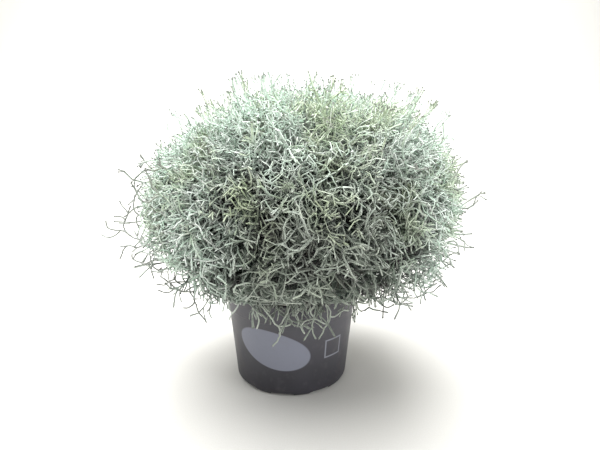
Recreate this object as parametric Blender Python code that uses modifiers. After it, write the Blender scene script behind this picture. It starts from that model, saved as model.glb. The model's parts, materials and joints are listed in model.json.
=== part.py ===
"""Cushion bush in a plastic trade pot: the pot, its root ball and one solid for each main stem.

Metres, +Z up, the pot standing on z = 0 with its axis on the origin. The photograph looks along +Y.
Each spray is a woody stem, a small dense core and the forked twigs that stand out of it.
"""

import math

import bmesh
import bpy
import numpy as np
from mathutils import Vector
from mathutils.bvhtree import BVHTree

OBJECT_NAME = "potted_cushion_bush"
SEED = 9338
MERGE_DISTANCE = 0.00001

# Pot
POT_HEIGHT = 0.092
LIP_RADIUS = 0.0636
BAND_RADIUS = 0.0624
BAND_HEIGHT = 0.018
WALL_TOP_RADIUS = 0.0612
BASE_RADIUS = 0.0545
POT_WALL = 0.0011
BAND_STEP = 0.0014
FLOOR_CHAMFER = 0.0020
LIP_DEPTH = 0.0022
LIP_ROUND = 0.0006
BAND_LEAN = 0.0005
CORNER_RADIUS = 0.0045
FOOT_INNER_RADIUS = 0.0435
FOOT_HEIGHT = 0.0034
FLOOR_TOP = 0.0048
PAD_RADIUS = 0.0145
FOOT_DRAFT = 0.0009
POT_SIDES = 36
CORNER_STEPS = 3
SLOT_COUNT = 9
SLOT_WIDTH = 0.0235
SLOT_HEIGHT = 0.0030
SLOT_CORNER = 0.0013
SLOT_OVERRUN = 0.004
SLOT_FIRST_DEG = -99.0
DRAIN_RADIUS = 0.0035
DRAIN_RING_RADIUS = 0.033
DRAIN_COUNT = 6

# Root ball
SOIL_TOP = 0.0868
SOIL_CROWN = 0.0015
SOIL_GAP = 0.00045
SOIL_SIDES = 24
SOIL_BUMP = 0.0011
HOLE_SIDES = 6
HOLE_TURN = 0.13
STEM_CLEARANCE = 0.0003
STEM_DEPTH = 0.016

# Dome of foliage, fitted to the outline in the photograph
DOME_CENTRE = np.array([0.012, 0.0, 0.173])
DOME_RADIUS = 0.143
DOME_RISE = 0.104
DOME_FALL_FRONT = 0.120
DOME_FALL_SIDE = 0.146
# Bulges and hollows of the outline: azimuth and elevation in degrees, spread in degrees, share of the reach
DOME_LOBES = (
    (180.0, -24.0, 26.0, 0.07),
    (160.0, 42.0, 22.0, -0.035),
    (0.0, -28.0, 24.0, -0.03),
    (60.0, 35.0, 25.0, 0.02),
    (250.0, 20.0, 24.0, 0.02),
    (300.0, 55.0, 22.0, -0.02),
)
SKIRT_SIDE_HEIGHT = 0.084
SKIRT_FRONT_SLOPE = 0.42
SKIRT_SIDE_SLOPE = 0.5
SKIRT_OVER_RIM = 0.0030
SKIRT_FRONT_POWER = 1.5

# Main stems, in tiers: how many, elevation of the core, first azimuth, radius of their holes in the soil
TIERS = (
    (1, 90.0, 0.0, 0.0),
    (5, 46.0, 18.0, 0.0125),
    (8, 10.0, 8.0, 0.0275),
    (7, -29.0, -90.0, 0.0440),
)
TIER_SHIFT_DEG = 4.0
TIER_SHIFT_STEP = 2.4
STEM_RADII = (0.0019, 0.0019, 0.0020, 0.0018)
STEM_BEVEL = 1
STEM_TAPER = 0.25
STEM_STEPS = 4
STEM_STRAIGHT = 0.006
STEM_RISE = 0.32
STEM_LIFT = 0.6

# Cores, as shares of the dome's reach
CORE_PLACE = 0.64
CORE_FILL = 0.80
CORE_HOLLOW = 0.30
CORE_GAP = 0.0045
CORE_SKIRT = 0.0025
CORE_ROUGHNESS = 0.17
CORE_LARGEST = 0.052
CORE_STEM_CLEARANCE = 0.0014
CORE_STEPS = 47
CORE_SHRINKS = 80
CORE_SHRINK = 0.94
STEM_SAMPLE = 0.002

# Twigs: three-sided, true thickness
TWIG_RADIUS = 0.00088
TWIG_THINNING = 0.90
TIP_SWELL = 1.18
TWIG_SINK = 0.0045
TWIG_CLEARANCE = 0.0009
TWIG_SPACING = 0.0158
TWIG_SCATTER = 0.45
TWIG_STEEPEST = 0.35
TWIG_INWARD = -0.1
TWIG_TWO_FORKS = 0.021
FIRST_STRETCH = {1: 0.56, 2: 0.42}
FULL_FORK_SHARE = 0.4
TWIG_SHORTEST = 0.014
TWIG_LONGEST = 0.038
TWIG_OVERSHOOT = 0.004
TWIG_PROUD_SHARE = 0.10
TWIG_PROUD_BY = 0.010
SADDLE_RISE = 0.9
SADDLE_DROP = 0.5
RING_TURNS_DEG = (-150, -30, 90)
FORK_DEG = (30.0, 46.0)
LEADER_SHARE = 0.55
BRANCH_SHARE = 1.15
STRETCH_SPREAD = (0.85, 1.12)
STRETCH_SHORTENING = 0.9
TIP_ROOM = TWIG_RADIUS * TIP_SWELL + TWIG_CLEARANCE
STRETCH_SAMPLES = 8
TWIG_TRIES = 5200
TWIG_TURNS = 5
RIM_KEEP_RADIUS = 0.0665
RIM_KEEP_HEIGHT = 0.0945

# Runners, the long twigs that leave the dome: tier, place in its ring, azimuth and elevation of the
# heading in degrees, length of the first stretch, forks along the leader, droop for each stretch
RUNNERS = (
    (3, 5, 186.0, -4.0, 0.021, 3, 0.05),
    (3, 5, 172.0, 10.0, 0.020, 3, -0.05),
    (3, 5, 196.0, -20.0, 0.017, 3, 0.02),
    (2, 4, 178.0, 4.0, 0.018, 2, 0.12),
    (3, 6, 205.0, -22.0, 0.014, 2, 0.05),
    (3, 6, 232.0, -50.0, 0.010, 2, 0.25),
    (3, 2, 352.0, -18.0, 0.015, 3, 0.02),
    (3, 1, 335.0, -20.0, 0.013, 2, 0.05),
    (3, 1, 318.0, -38.0, 0.010, 2, 0.10),
    (3, 6, 270.0, -50.0, 0.009, 1, 0.35),
    (3, 0, 238.0, -56.0, 0.011, 2, 0.32),
    (3, 0, 264.0, -60.0, 0.009, 1, 0.35),
    (3, 0, 300.0, -56.0, 0.012, 2, 0.30),
    (3, 1, 262.0, -52.0, 0.009, 1, 0.35),
    (3, 1, 290.0, -36.0, 0.009, 2, 0.08),
    (3, 4, 120.0, -30.0, 0.016, 3, 0.20),
    (3, 3, 60.0, -28.0, 0.016, 3, 0.20),
)
RUNNER_TRIES = 40
RUNNER_WOBBLE = 0.05
RUNNER_WOBBLE_GROWTH = 0.25
RUNNER_SHORTENING = 0.88


def clear_scene():
    """Remove every object that the file opens with."""
    for item in list(bpy.data.objects):
        bpy.data.objects.remove(item, do_unlink=True)


def new_collection(name):
    collection = bpy.data.collections.new(name)
    bpy.context.scene.collection.children.link(collection)
    return collection


def plain_material(name, colour, roughness):
    material = bpy.data.materials.new(name)
    material.use_nodes = True
    shader = material.node_tree.nodes["Principled BSDF"]
    shader.inputs["Base Color"].default_value = (*colour, 1.0)
    shader.inputs["Roughness"].default_value = roughness
    return material


def add_mesh(name, points, faces, collection):
    mesh = bpy.data.meshes.new(name)
    mesh.from_pydata([tuple(point) for point in points], [], faces)
    item = bpy.data.objects.new(name, mesh)
    collection.objects.link(item)
    return item


def unit(vector):
    return vector / np.linalg.norm(vector)


def from_angles(azimuth_deg, elevation_deg):
    """Unit vector at an azimuth from +X and an elevation from the ground."""
    azimuth, elevation = math.radians(azimuth_deg), math.radians(elevation_deg)
    level = math.cos(elevation)
    return np.array([level * math.cos(azimuth), level * math.sin(azimuth), math.sin(elevation)])


def dome_reach(directions):
    """Distance from the dome's centre to its outline, for rows of unit vectors."""
    directions = np.atleast_2d(directions)
    level = np.hypot(directions[:, 0], directions[:, 1])
    sideways = np.abs(directions[:, 0]) / np.maximum(level, 1e-9)
    fall = DOME_FALL_FRONT + (DOME_FALL_SIDE - DOME_FALL_FRONT) * sideways**2
    height = np.where(directions[:, 2] > 0, DOME_RISE, fall)
    reach = 1 / np.sqrt((level / DOME_RADIUS) ** 2 + (directions[:, 2] / height) ** 2)
    for azimuth, elevation, spread, share in DOME_LOBES:
        turned = np.clip(directions @ from_angles(azimuth, elevation), -1, 1)
        angle = np.degrees(np.arccos(turned))
        reach = reach * (1 + share * np.exp(-((angle / spread) ** 2)))
    return reach


def beyond_dome(points, share=1.0):
    """How far each point lies outside the dome scaled by a share; negative inside."""
    offsets = np.atleast_2d(points) - DOME_CENTRE
    distances = np.linalg.norm(offsets, axis=1)
    directions = offsets / np.maximum(distances, 1e-9)[:, None]
    return distances - share * dome_reach(directions)


def skirt_height(points):
    """Lowest height of the foliage under each point: level at the sides, rising to the front."""
    points = np.atleast_2d(points)
    radius = np.hypot(points[:, 0], points[:, 1])
    frontness = np.clip(-points[:, 1] / np.maximum(radius, 1e-9), 0, 1)
    past_rim = np.maximum(radius - LIP_RADIUS, 0)
    over_rim = POT_HEIGHT + SKIRT_OVER_RIM
    front = over_rim + SKIRT_FRONT_SLOPE * past_rim
    side = np.maximum(over_rim - SKIRT_SIDE_SLOPE * past_rim, SKIRT_SIDE_HEIGHT)
    return side + (front - side) * frontness**SKIRT_FRONT_POWER


def pot_profile():
    """Half section of the pot: from the axis over the floor, up inside, over the lip and down outside."""
    band_foot = POT_HEIGHT - BAND_HEIGHT
    points = [
        (0.0, FLOOR_TOP),
        (BASE_RADIUS - POT_WALL - FLOOR_CHAMFER, FLOOR_TOP),
        (BASE_RADIUS - POT_WALL, FLOOR_TOP + FLOOR_CHAMFER),
        (WALL_TOP_RADIUS - POT_WALL, band_foot - BAND_STEP),
        (BAND_RADIUS - POT_WALL - BAND_LEAN, band_foot + BAND_LEAN),
        (BAND_RADIUS - POT_WALL, POT_HEIGHT - LIP_ROUND),
        (BAND_RADIUS - POT_WALL + LIP_ROUND, POT_HEIGHT),
        (LIP_RADIUS - LIP_ROUND, POT_HEIGHT),
        (LIP_RADIUS, POT_HEIGHT - LIP_ROUND),
        (LIP_RADIUS, POT_HEIGHT - LIP_DEPTH),
        (BAND_RADIUS, POT_HEIGHT - LIP_DEPTH - LIP_ROUND),
        (BAND_RADIUS - BAND_LEAN, band_foot),
        (WALL_TOP_RADIUS, band_foot - BAND_STEP),
    ]
    corner_centre = BASE_RADIUS - CORNER_RADIUS
    for step in range(CORNER_STEPS + 1):
        angle = math.pi / 2 * step / CORNER_STEPS
        across = corner_centre + CORNER_RADIUS * math.cos(angle)
        points.append((across, CORNER_RADIUS - CORNER_RADIUS * math.sin(angle)))
    points += [
        (FOOT_INNER_RADIUS, 0.0),
        (FOOT_INNER_RADIUS - FOOT_DRAFT, FOOT_HEIGHT),
        (PAD_RADIUS + FOOT_DRAFT, FOOT_HEIGHT),
        (PAD_RADIUS, 0.0),
        (0.0, 0.0),
    ]
    return points


def turned_solid(name, profile, sides, collection, material):
    """A closed solid of revolution: a half section from axis to axis, turned by a Screw."""
    mesh = bpy.data.meshes.new(name)
    links = [(step, step + 1) for step in range(len(profile) - 1)]
    mesh.from_pydata([(radius, 0.0, height) for radius, height in profile], links, [])
    mesh.materials.append(material)
    item = bpy.data.objects.new(name, mesh)
    collection.objects.link(item)
    turn = item.modifiers.new("turn", "SCREW")
    turn.steps = sides
    turn.render_steps = sides
    turn.use_merge_vertices = True
    turn.merge_threshold = MERGE_DISTANCE
    turn.use_smooth_shade = True
    return item


def as_cutter(item, collection):
    """Move a fresh primitive into a cutters' collection, hidden from renders."""
    for holder in list(item.users_collection):
        holder.objects.unlink(item)
    collection.objects.link(item)
    item.hide_render = True
    item.display_type = "WIRE"
    return item


def round_cutter(centre, radius, low, high, collection):
    """An upright six-sided cutter, turned a little so that its edges meet no edge of the turned solids."""
    bpy.ops.mesh.primitive_cylinder_add(
        vertices=HOLE_SIDES,
        radius=radius,
        depth=high - low,
        location=(centre[0], centre[1], (low + high) / 2),
        rotation=(0.0, 0.0, HOLE_TURN),
    )
    return as_cutter(bpy.context.object, collection)


def slot_cutter(azimuth_deg, collection):
    """A block that cuts one drainage arch through the foot ring, with its upper corners taken off."""
    azimuth = math.radians(azimuth_deg)
    low, high = -2 * SLOT_HEIGHT, SLOT_HEIGHT
    near, far = FOOT_INNER_RADIUS - SLOT_OVERRUN, BASE_RADIUS + SLOT_OVERRUN
    middle = (near + far) / 2
    bpy.ops.mesh.primitive_cube_add(
        size=1.0,
        location=(middle * math.cos(azimuth), middle * math.sin(azimuth), (low + high) / 2),
        rotation=(0.0, 0.0, azimuth),
    )
    block = bpy.context.object
    for vertex in block.data.vertices:
        vertex.co.x *= far - near
        vertex.co.y *= SLOT_WIDTH
        vertex.co.z *= high - low
    corners = block.modifiers.new("corners", "BEVEL")
    corners.width = SLOT_CORNER
    corners.segments = 1
    return as_cutter(block, collection)


def cut(item, cutters):
    """Cut an object with every cutter in a collection."""
    modifier = item.modifiers.new("cut", "BOOLEAN")
    modifier.operation = "DIFFERENCE"
    modifier.operand_type = "COLLECTION"
    modifier.collection = cutters
    modifier.solver = "EXACT"


def evaluated_mesh(item):
    """A new mesh with the object's modifiers or curve worked out."""
    evaluated = item.evaluated_get(bpy.context.evaluated_depsgraph_get())
    return bpy.data.meshes.new_from_object(evaluated)


def fuse(item, pieces):
    """Join one object with all of a collection's objects, then remove those objects."""
    modifier = item.modifiers.new("fuse", "BOOLEAN")
    modifier.operation = "UNION"
    modifier.operand_type = "COLLECTION"
    modifier.collection = pieces
    modifier.solver = "MANIFOLD"
    mesh = evaluated_mesh(item)
    item.modifiers.clear()
    for used in list(pieces.objects):
        bpy.data.objects.remove(used, do_unlink=True)
    bpy.data.collections.remove(pieces)
    return mesh


def make_pot(parts, material):
    pot = turned_solid("pot", pot_profile(), POT_SIDES, parts, material)
    cutters = new_collection("pot_cutters")
    for number in range(SLOT_COUNT):
        slot_cutter(SLOT_FIRST_DEG + number * 360 / SLOT_COUNT, cutters)
    for number in range(DRAIN_COUNT):
        angle = 2 * math.pi * (number + 0.5) / DRAIN_COUNT
        centre = (DRAIN_RING_RADIUS * math.cos(angle), DRAIN_RING_RADIUS * math.sin(angle))
        round_cutter(centre, DRAIN_RADIUS, FOOT_HEIGHT / 2, 2 * FLOOR_TOP, cutters)
    cut(pot, cutters)


def make_root_ball(parts, material, stems):
    """The plug of potting mix, bumpy on top, with one plain hole for each stem."""
    top_radius = WALL_TOP_RADIUS - POT_WALL - SOIL_GAP
    profile = [
        (0.0, SOIL_TOP + SOIL_CROWN),
        (0.5 * top_radius, SOIL_TOP + 0.5 * SOIL_CROWN),
        (top_radius, SOIL_TOP - SOIL_CROWN),
        (top_radius, POT_HEIGHT - BAND_HEIGHT - BAND_STEP),
        (BASE_RADIUS - POT_WALL - SOIL_GAP, FLOOR_TOP + FLOOR_CHAMFER),
        (BASE_RADIUS - POT_WALL - FLOOR_CHAMFER - SOIL_GAP, FLOOR_TOP + STEM_CLEARANCE),
        (0.0, FLOOR_TOP + STEM_CLEARANCE),
    ]
    soil = turned_solid("root_ball", profile, SOIL_SIDES, parts, material)
    plain = evaluated_mesh(soil)
    soil.modifiers.clear()
    soil.data = plain
    rng = np.random.default_rng(SEED)
    for vertex in plain.vertices:
        if vertex.co.z > SOIL_TOP - 2 * SOIL_CROWN:
            vertex.co.z += SOIL_BUMP * float(rng.uniform(-1, 1))
    soil.modifiers.new("split", "TRIANGULATE")
    holes = new_collection("stem_holes")
    for stem in stems:
        radius = (stem["radius"] + STEM_CLEARANCE) / math.cos(math.pi / HOLE_SIDES)
        low = SOIL_TOP - STEM_DEPTH - STEM_CLEARANCE
        round_cutter(stem["path"][0], radius, low, POT_HEIGHT, holes)
    cut(soil, holes)


def plan_stems():
    """Where each main stem starts in the soil and where its core sits, tier by tier."""
    stems = []
    for tier, (count, elevation, first, hole_radius) in enumerate(TIERS):
        for place in range(count):
            shift = TIER_SHIFT_DEG * math.sin(TIER_SHIFT_STEP * place + tier)
            azimuth = first + 360 * place / count + shift
            direction = from_angles(azimuth, elevation)
            centre = DOME_CENTRE + CORE_PLACE * dome_reach(direction)[0] * direction
            foot = np.array([
                hole_radius * math.cos(math.radians(azimuth)),
                hole_radius * math.sin(math.radians(azimuth)),
                SOIL_TOP - STEM_DEPTH,
            ])
            stems.append({
                "tier": tier,
                "place": place,
                "radius": STEM_RADII[tier],
                "centre": centre,
                "path": stem_path(foot, centre, direction),
            })
    return stems


def stem_path(foot, centre, direction):
    """Upright out of the soil, then one even bend to the middle of the core."""
    start = foot + np.array([0.0, 0.0, STEM_DEPTH + STEM_STRAIGHT])
    reach = np.linalg.norm(centre - start)
    first_handle = start + np.array([0.0, 0.0, STEM_RISE * reach])
    last_handle = centre - STEM_RISE * reach * unit(direction + np.array([0.0, 0.0, STEM_LIFT]))
    path = [foot, start]
    for step in range(1, STEM_STEPS + 1):
        t = step / STEM_STEPS
        path.append(
            (1 - t) ** 3 * start
            + 3 * (1 - t) ** 2 * t * first_handle
            + 3 * (1 - t) * t**2 * last_handle
            + t**3 * centre
        )
    return np.array(path)


def stem_mesh(name, stem):
    """The woody stem as a bevelled curve, thinner towards its core, made into a closed mesh."""
    curve = bpy.data.curves.new(name, "CURVE")
    curve.dimensions = "3D"
    curve.bevel_depth = stem["radius"]
    curve.bevel_resolution = STEM_BEVEL
    curve.use_fill_caps = True
    path = stem["path"]
    spline = curve.splines.new("POLY")
    spline.points.add(len(path) - 1)
    for step, place in enumerate(path):
        spline.points[step].co = (*place, 1.0)
        spline.points[step].radius = 1.0 - STEM_TAPER * max(step - 1, 0) / (len(path) - 2)
    item = bpy.data.objects.new(name, curve)
    bpy.context.scene.collection.objects.link(item)
    mesh = evaluated_mesh(item)
    bpy.data.objects.remove(item, do_unlink=True)
    welded = bmesh.new()
    welded.from_mesh(mesh)
    bmesh.ops.remove_doubles(welded, verts=welded.verts, dist=MERGE_DISTANCE)
    welded.to_mesh(mesh)
    welded.free()
    return mesh


def distance_to_segments(points, starts, ends):
    """Distance of every point to every segment, as a table."""
    points = np.atleast_2d(points)
    spans = ends - starts
    lengths = np.maximum((spans**2).sum(axis=1), 1e-18)
    offsets = points[:, None, :] - starts[None, :, :]
    shares = np.clip((offsets * spans[None]).sum(axis=2) / lengths[None], 0, 1)
    nearest = starts[None] + shares[..., None] * spans[None]
    return np.linalg.norm(points[:, None, :] - nearest, axis=2)


def ico_sphere():
    """Unit directions and triangles of a small icosphere."""
    bpy.ops.mesh.primitive_ico_sphere_add(subdivisions=2, radius=1.0)
    item = bpy.context.object
    directions = np.array([vertex.co[:] for vertex in item.data.vertices])
    faces = [tuple(face.vertices) for face in item.data.polygons]
    bpy.data.objects.remove(item, do_unlink=True)
    return directions / np.linalg.norm(directions, axis=1)[:, None], faces


def core_limits(stem, stems, directions):
    """How far a core may reach in each direction: to its neighbours, the shell, the hollow and the skirt."""
    centre = stem["centre"]
    limits = np.full(len(directions), CORE_LARGEST)
    for other in stems:
        if other is stem:
            continue
        apart = other["centre"] - centre
        halfway = np.linalg.norm(apart) / 2 - CORE_GAP / 2
        towards = directions @ unit(apart)
        blocked = towards > 1e-6
        limits[blocked] = np.minimum(limits[blocked], halfway / towards[blocked])
    steps = np.linspace(0.0, 1.0, CORE_STEPS)[1:]
    for row, direction in enumerate(directions):
        places = centre + np.outer(steps * limits[row], direction)
        inside = beyond_dome(places, CORE_FILL) < 0
        inside &= beyond_dome(places, CORE_HOLLOW) > 0
        inside &= places[:, 2] > skirt_height(places) + CORE_SKIRT
        allowed = np.argmin(inside) if not inside.all() else len(steps)
        limits[row] *= steps[max(allowed - 1, 0)]
    return limits


def stem_samples(stems):
    """Points close together along every given stem, each with the stem's radius."""
    samples = []
    for stem in stems:
        for start, end in zip(stem["path"][:-1], stem["path"][1:]):
            count = int(np.linalg.norm(end - start) / STEM_SAMPLE) + 2
            for share in np.linspace(0.0, 1.0, count):
                samples.append((start + share * (end - start), stem["radius"]))
    return samples


def core_points(stem, stems, directions, faces, rng):
    """Corners of a rough lump that fills its share of the dome and stays off every other stem."""
    centre = stem["centre"]
    radii = core_limits(stem, stems, directions)
    radii *= 1 - CORE_ROUGHNESS * rng.uniform(0, 1, len(radii))
    samples = stem_samples([other for other in stems if other is not stem])
    for _ in range(CORE_SHRINKS):
        points = centre + directions * radii[:, None]
        tree = BVHTree.FromPolygons([tuple(point) for point in points], faces)
        tight = set()
        for sample, thickness in samples:
            offset = Vector(sample - centre)
            _, _, face, distance = tree.find_nearest(Vector(sample))
            _, _, faced, depth = tree.ray_cast(Vector(centre), offset.normalized())
            if distance < thickness + CORE_STEM_CLEARANCE:
                tight.update(faces[face])
            if offset.length < depth:
                tight.update(faces[faced])
        if not tight:
            break
        radii[list(tight)] *= CORE_SHRINK
    return centre + directions * radii[:, None]


class Twig:
    """One forked twig: its closed three-sided mesh and the segments that its clearances are kept with."""

    def __init__(self, rng):
        self.rng = rng
        self.points = []
        self.faces = []
        self.starts = []
        self.ends = []

    def ring(self, centre, along, spread, radius):
        third = np.cross(along, spread)
        first = len(self.points)
        for turn in RING_TURNS_DEG:
            angle = math.radians(turn)
            self.points.append(centre + radius * (math.cos(angle) * spread + math.sin(angle) * third))
        return (first, first + 1, first + 2)

    def sides(self, base, end):
        """Join two rings, turned against each other as little as can be."""
        corners = np.array(self.points)
        turns = [end[k:] + end[:k] for k in range(3)]
        shifts = [corners[list(turn)] - corners[list(base)] for turn in turns]
        best = turns[int(np.argmin([np.linalg.norm(shift, axis=1).sum() for shift in shifts]))]
        for k in range(3):
            a, b = base[k], base[(k + 1) % 3]
            c, d = best[(k + 1) % 3], best[k]
            self.faces += [(a, b, c), (a, c, d)]
        return best

    def stretch(self, base, start, along, length, radius, forks, side_forks, bend, shortening):
        """One internode, and then its tip or a fork with two more."""
        spread = unit(np.cross(along, self.rng.normal(size=3)))
        end = start + length * along
        self.starts.append(start)
        self.ends.append(end)
        swell = TIP_SWELL if forks == 0 else 1.0
        ring = self.ring(end, along, spread, radius * swell)
        self.sides(base, ring)
        if forks == 0:
            self.faces.append(ring)
            return
        third = np.cross(along, spread)
        saddle = len(self.points)
        self.points.append(end + SADDLE_RISE * radius * along - SADDLE_DROP * radius * third)
        a, b, c = ring
        self.faces.append((a, b, saddle))
        straighter = LEADER_SHARE if side_forks < forks - 1 else 1.0
        leader = math.radians(self.rng.uniform(*FORK_DEG) * straighter)
        branch = math.radians(self.rng.uniform(*FORK_DEG) * BRANCH_SHARE)
        children = (
            ((a, saddle, c), -math.sin(leader), math.cos(leader), forks - 1),
            ((saddle, b, c), math.sin(branch), math.cos(branch), min(side_forks, forks - 1)),
        )
        for loop, outward, onward, left in children:
            heading = unit(outward * spread + onward * along + bend)
            reach = length * shortening * self.rng.uniform(*STRETCH_SPREAD)
            foot = np.array(self.points)[list(loop)].mean(axis=0)
            self.stretch(loop, foot, heading, reach, radius * TWIG_THINNING, left,
                         side_forks, bend, shortening)

    def grow(self, root, along, length, forks, side_forks, bend, shortening=STRETCH_SHORTENING):
        """Start inside the core and stand out of it."""
        spread = unit(np.cross(along, self.rng.normal(size=3)))
        base = self.ring(root - TWIG_SINK * along, along, spread, TWIG_RADIUS)
        self.faces.append((base[0], base[2], base[1]))
        self.stretch(base, root - TWIG_SINK * along, along, length + TWIG_SINK, TWIG_RADIUS,
                     forks, side_forks, bend, shortening)
        self.starts[0] = root


class Thicket:
    """What is already placed, so that each new twig stays clear of it."""

    def __init__(self, stems, core_meshes):
        self.starts = []
        self.ends = []
        self.room = []
        self.centres = [stem["centre"] for stem in stems]
        self.cores = []
        for points, faces in core_meshes:
            self.cores.append(BVHTree.FromPolygons([tuple(point) for point in points], faces))
        for stem in stems:
            self.add(stem["path"][:-1], stem["path"][1:], stem["radius"])

    def add(self, starts, ends, radius):
        for start, end in zip(starts, ends):
            self.starts.append(start)
            self.ends.append(end)
            self.room.append(radius)

    def is_clear(self, owner, twig, over_skirt):
        """True where the twig misses every placed piece, every core and the pot's rim."""
        starts, ends = np.array(twig.starts), np.array(twig.ends)
        shares = np.linspace(0.0, 1.0, STRETCH_SAMPLES)[:, None, None]
        samples = (starts + (ends - starts) * shares).transpose(1, 0, 2)
        points = samples.reshape(-1, 3)
        over_pot = np.hypot(points[:, 0], points[:, 1]) < RIM_KEEP_RADIUS
        if (over_pot & (points[:, 2] < RIM_KEEP_HEIGHT)).any():
            return False
        if over_skirt and (points[:, 2] < skirt_height(points)).any():
            return False
        placed = distance_to_segments(points, np.array(self.starts), np.array(self.ends))
        if (placed < np.array(self.room) + TWIG_RADIUS + TWIG_CLEARANCE).any():
            return False
        for number, tree in enumerate(self.cores):
            first = 1 if number == owner else 0
            if self.hits_core(number, tree, starts[first:], ends[first:], samples[first:]):
                return False
        return True

    def hits_core(self, number, tree, starts, ends, samples):
        """True where any stretch enters a core or comes too close to it."""
        points = samples.reshape(-1, 3)
        near = np.linalg.norm(points - self.centres[number], axis=1) < CORE_LARGEST + 2 * TIP_ROOM
        if not near.any():
            return False
        for start, end in zip(starts, ends):
            span = Vector(end - start)
            if tree.ray_cast(Vector(start), span.normalized(), span.length)[0] is not None:
                return True
        return any(tree.find_nearest(Vector(point), TIP_ROOM)[0] is not None for point in points[near])


def rooted_twigs(stems, core_meshes, thicket, rng):
    """Twigs spread evenly over the outer faces of all cores, each reaching to the dome's outline."""
    candidates = []
    for owner, (points, faces) in enumerate(core_meshes):
        corners = points[np.array(faces)]
        normals = np.cross(corners[:, 1] - corners[:, 0], corners[:, 2] - corners[:, 0])
        areas = np.linalg.norm(normals, axis=1) / 2
        normals /= 2 * areas[:, None]
        share = areas.sum() / sum(surface_area(*mesh) for mesh in core_meshes)
        count = int(TWIG_TRIES * share)
        chosen = rng.choice(len(faces), size=count, p=areas / areas.sum())
        mix = rng.dirichlet((1.0, 1.0, 1.0), size=count)
        places = (corners[chosen] * mix[..., None]).sum(axis=1)
        candidates += [(owner, place, normals[face]) for place, face in zip(places, chosen)]
    twigs = [[] for _ in stems]
    roots = np.empty((0, 3))
    for number in rng.permutation(len(candidates)):
        owner, place, normal = candidates[number]
        outward = unit(place - DOME_CENTRE)
        if normal @ outward < TWIG_INWARD:
            continue
        if len(roots) and np.linalg.norm(roots - place, axis=1).min() < TWIG_SPACING:
            continue
        for _ in range(TWIG_TURNS):
            twig = try_twig(place, outward, normal, rng)
            if twig is None or not thicket.is_clear(owner, twig, over_skirt=True):
                continue
            thicket.add(twig.starts, twig.ends, TWIG_RADIUS)
            twigs[owner].append(twig)
            roots = np.vstack([roots, place])
            break
    return twigs


def try_twig(place, outward, normal, rng):
    """One twig that reaches from a place on a core to the dome's outline, or None where it overshoots."""
    heading = unit(outward + normal + TWIG_SCATTER * rng.normal(size=3))
    if heading @ normal < TWIG_STEEPEST:
        return None
    proud = TWIG_PROUD_BY if rng.uniform() < TWIG_PROUD_SHARE else 0.0
    reach = float(np.clip(gap_to_outline(place, heading) + proud, TWIG_SHORTEST, TWIG_LONGEST))
    forks = 1 if reach < TWIG_TWO_FORKS else 2
    length = reach * FIRST_STRETCH[forks]
    side_forks = int(rng.uniform() < FULL_FORK_SHARE)
    twig = Twig(rng)
    twig.grow(place, heading, length, forks, side_forks, np.zeros(3))
    overshoots = beyond_dome(np.array(twig.ends)).max() > TWIG_OVERSHOOT + proud
    return None if overshoots else twig


def surface_area(points, faces):
    corners = points[np.array(faces)]
    crosses = np.cross(corners[:, 1] - corners[:, 0], corners[:, 2] - corners[:, 0])
    return np.linalg.norm(crosses, axis=1).sum() / 2


def gap_to_outline(place, heading):
    """Length along the heading to the dome's outline."""
    steps = np.linspace(0.0, 2 * TWIG_LONGEST, CORE_STEPS)
    outside = beyond_dome(place + np.outer(steps, heading)) > 0
    return steps[int(np.argmax(outside))] if outside.any() else steps[-1]


def runner_twigs(stems, thicket, twigs, rng):
    """The long loose twigs at the left and right and over the front of the pot."""
    starts_of_tier = np.cumsum([0] + [tier[0] for tier in TIERS])
    for tier, place, azimuth, elevation, length, forks, droop in RUNNERS:
        owner = int(starts_of_tier[tier] + place)
        for attempt in range(RUNNER_TRIES):
            wobble = RUNNER_WOBBLE * (1 + RUNNER_WOBBLE_GROWTH * attempt)
            heading = unit(from_angles(azimuth, elevation) + wobble * rng.normal(size=3))
            centre = stems[owner]["centre"]
            root = np.array(thicket.cores[owner].ray_cast(Vector(centre), Vector(heading))[0])
            twig = Twig(rng)
            bend = np.array([0.0, 0.0, -droop])
            twig.grow(root, heading, length, forks, 1, bend, RUNNER_SHORTENING)
            if thicket.is_clear(owner, twig, over_skirt=False):
                thicket.add(twig.starts, twig.ends, TWIG_RADIUS)
                twigs[owner].append(twig)
                break


def largest_body(mesh):
    """Drop loose scraps and sealed hollows: keep only the largest connected part of a mesh."""
    parent = list(range(len(mesh.vertices)))

    def root_of(index):
        while parent[index] != index:
            parent[index] = parent[parent[index]]
            index = parent[index]
        return index

    for edge in mesh.edges:
        a, b = root_of(edge.vertices[0]), root_of(edge.vertices[1])
        if a != b:
            parent[a] = b
    groups = {}
    for index in range(len(mesh.vertices)):
        groups.setdefault(root_of(index), []).append(index)
    kept = max(groups.values(), key=len)
    number = {old: new for new, old in enumerate(kept)}
    points = [mesh.vertices[index].co[:] for index in kept]
    faces = [[number[v] for v in face.vertices] for face in mesh.polygons if face.vertices[0] in number]
    return points, faces


def make_spray(name, stem, core_mesh, twigs, parts, material):
    """Fuse one stem, its core and its twigs into one closed solid."""
    pieces = new_collection(f"{name}_pieces")
    spray = add_mesh(name, *core_mesh, parts)
    pieces.objects.link(bpy.data.objects.new(f"{name}_stem", stem_mesh(f"{name}_stem", stem)))
    for number, twig in enumerate(twigs):
        add_mesh(f"{name}_twig_{number}", twig.points, twig.faces, pieces)
    points, faces = largest_body(fuse(spray, pieces))
    mesh = bpy.data.meshes.new(name)
    mesh.from_pydata(points, [], faces)
    mesh.materials.append(material)
    spray.data = mesh


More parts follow.
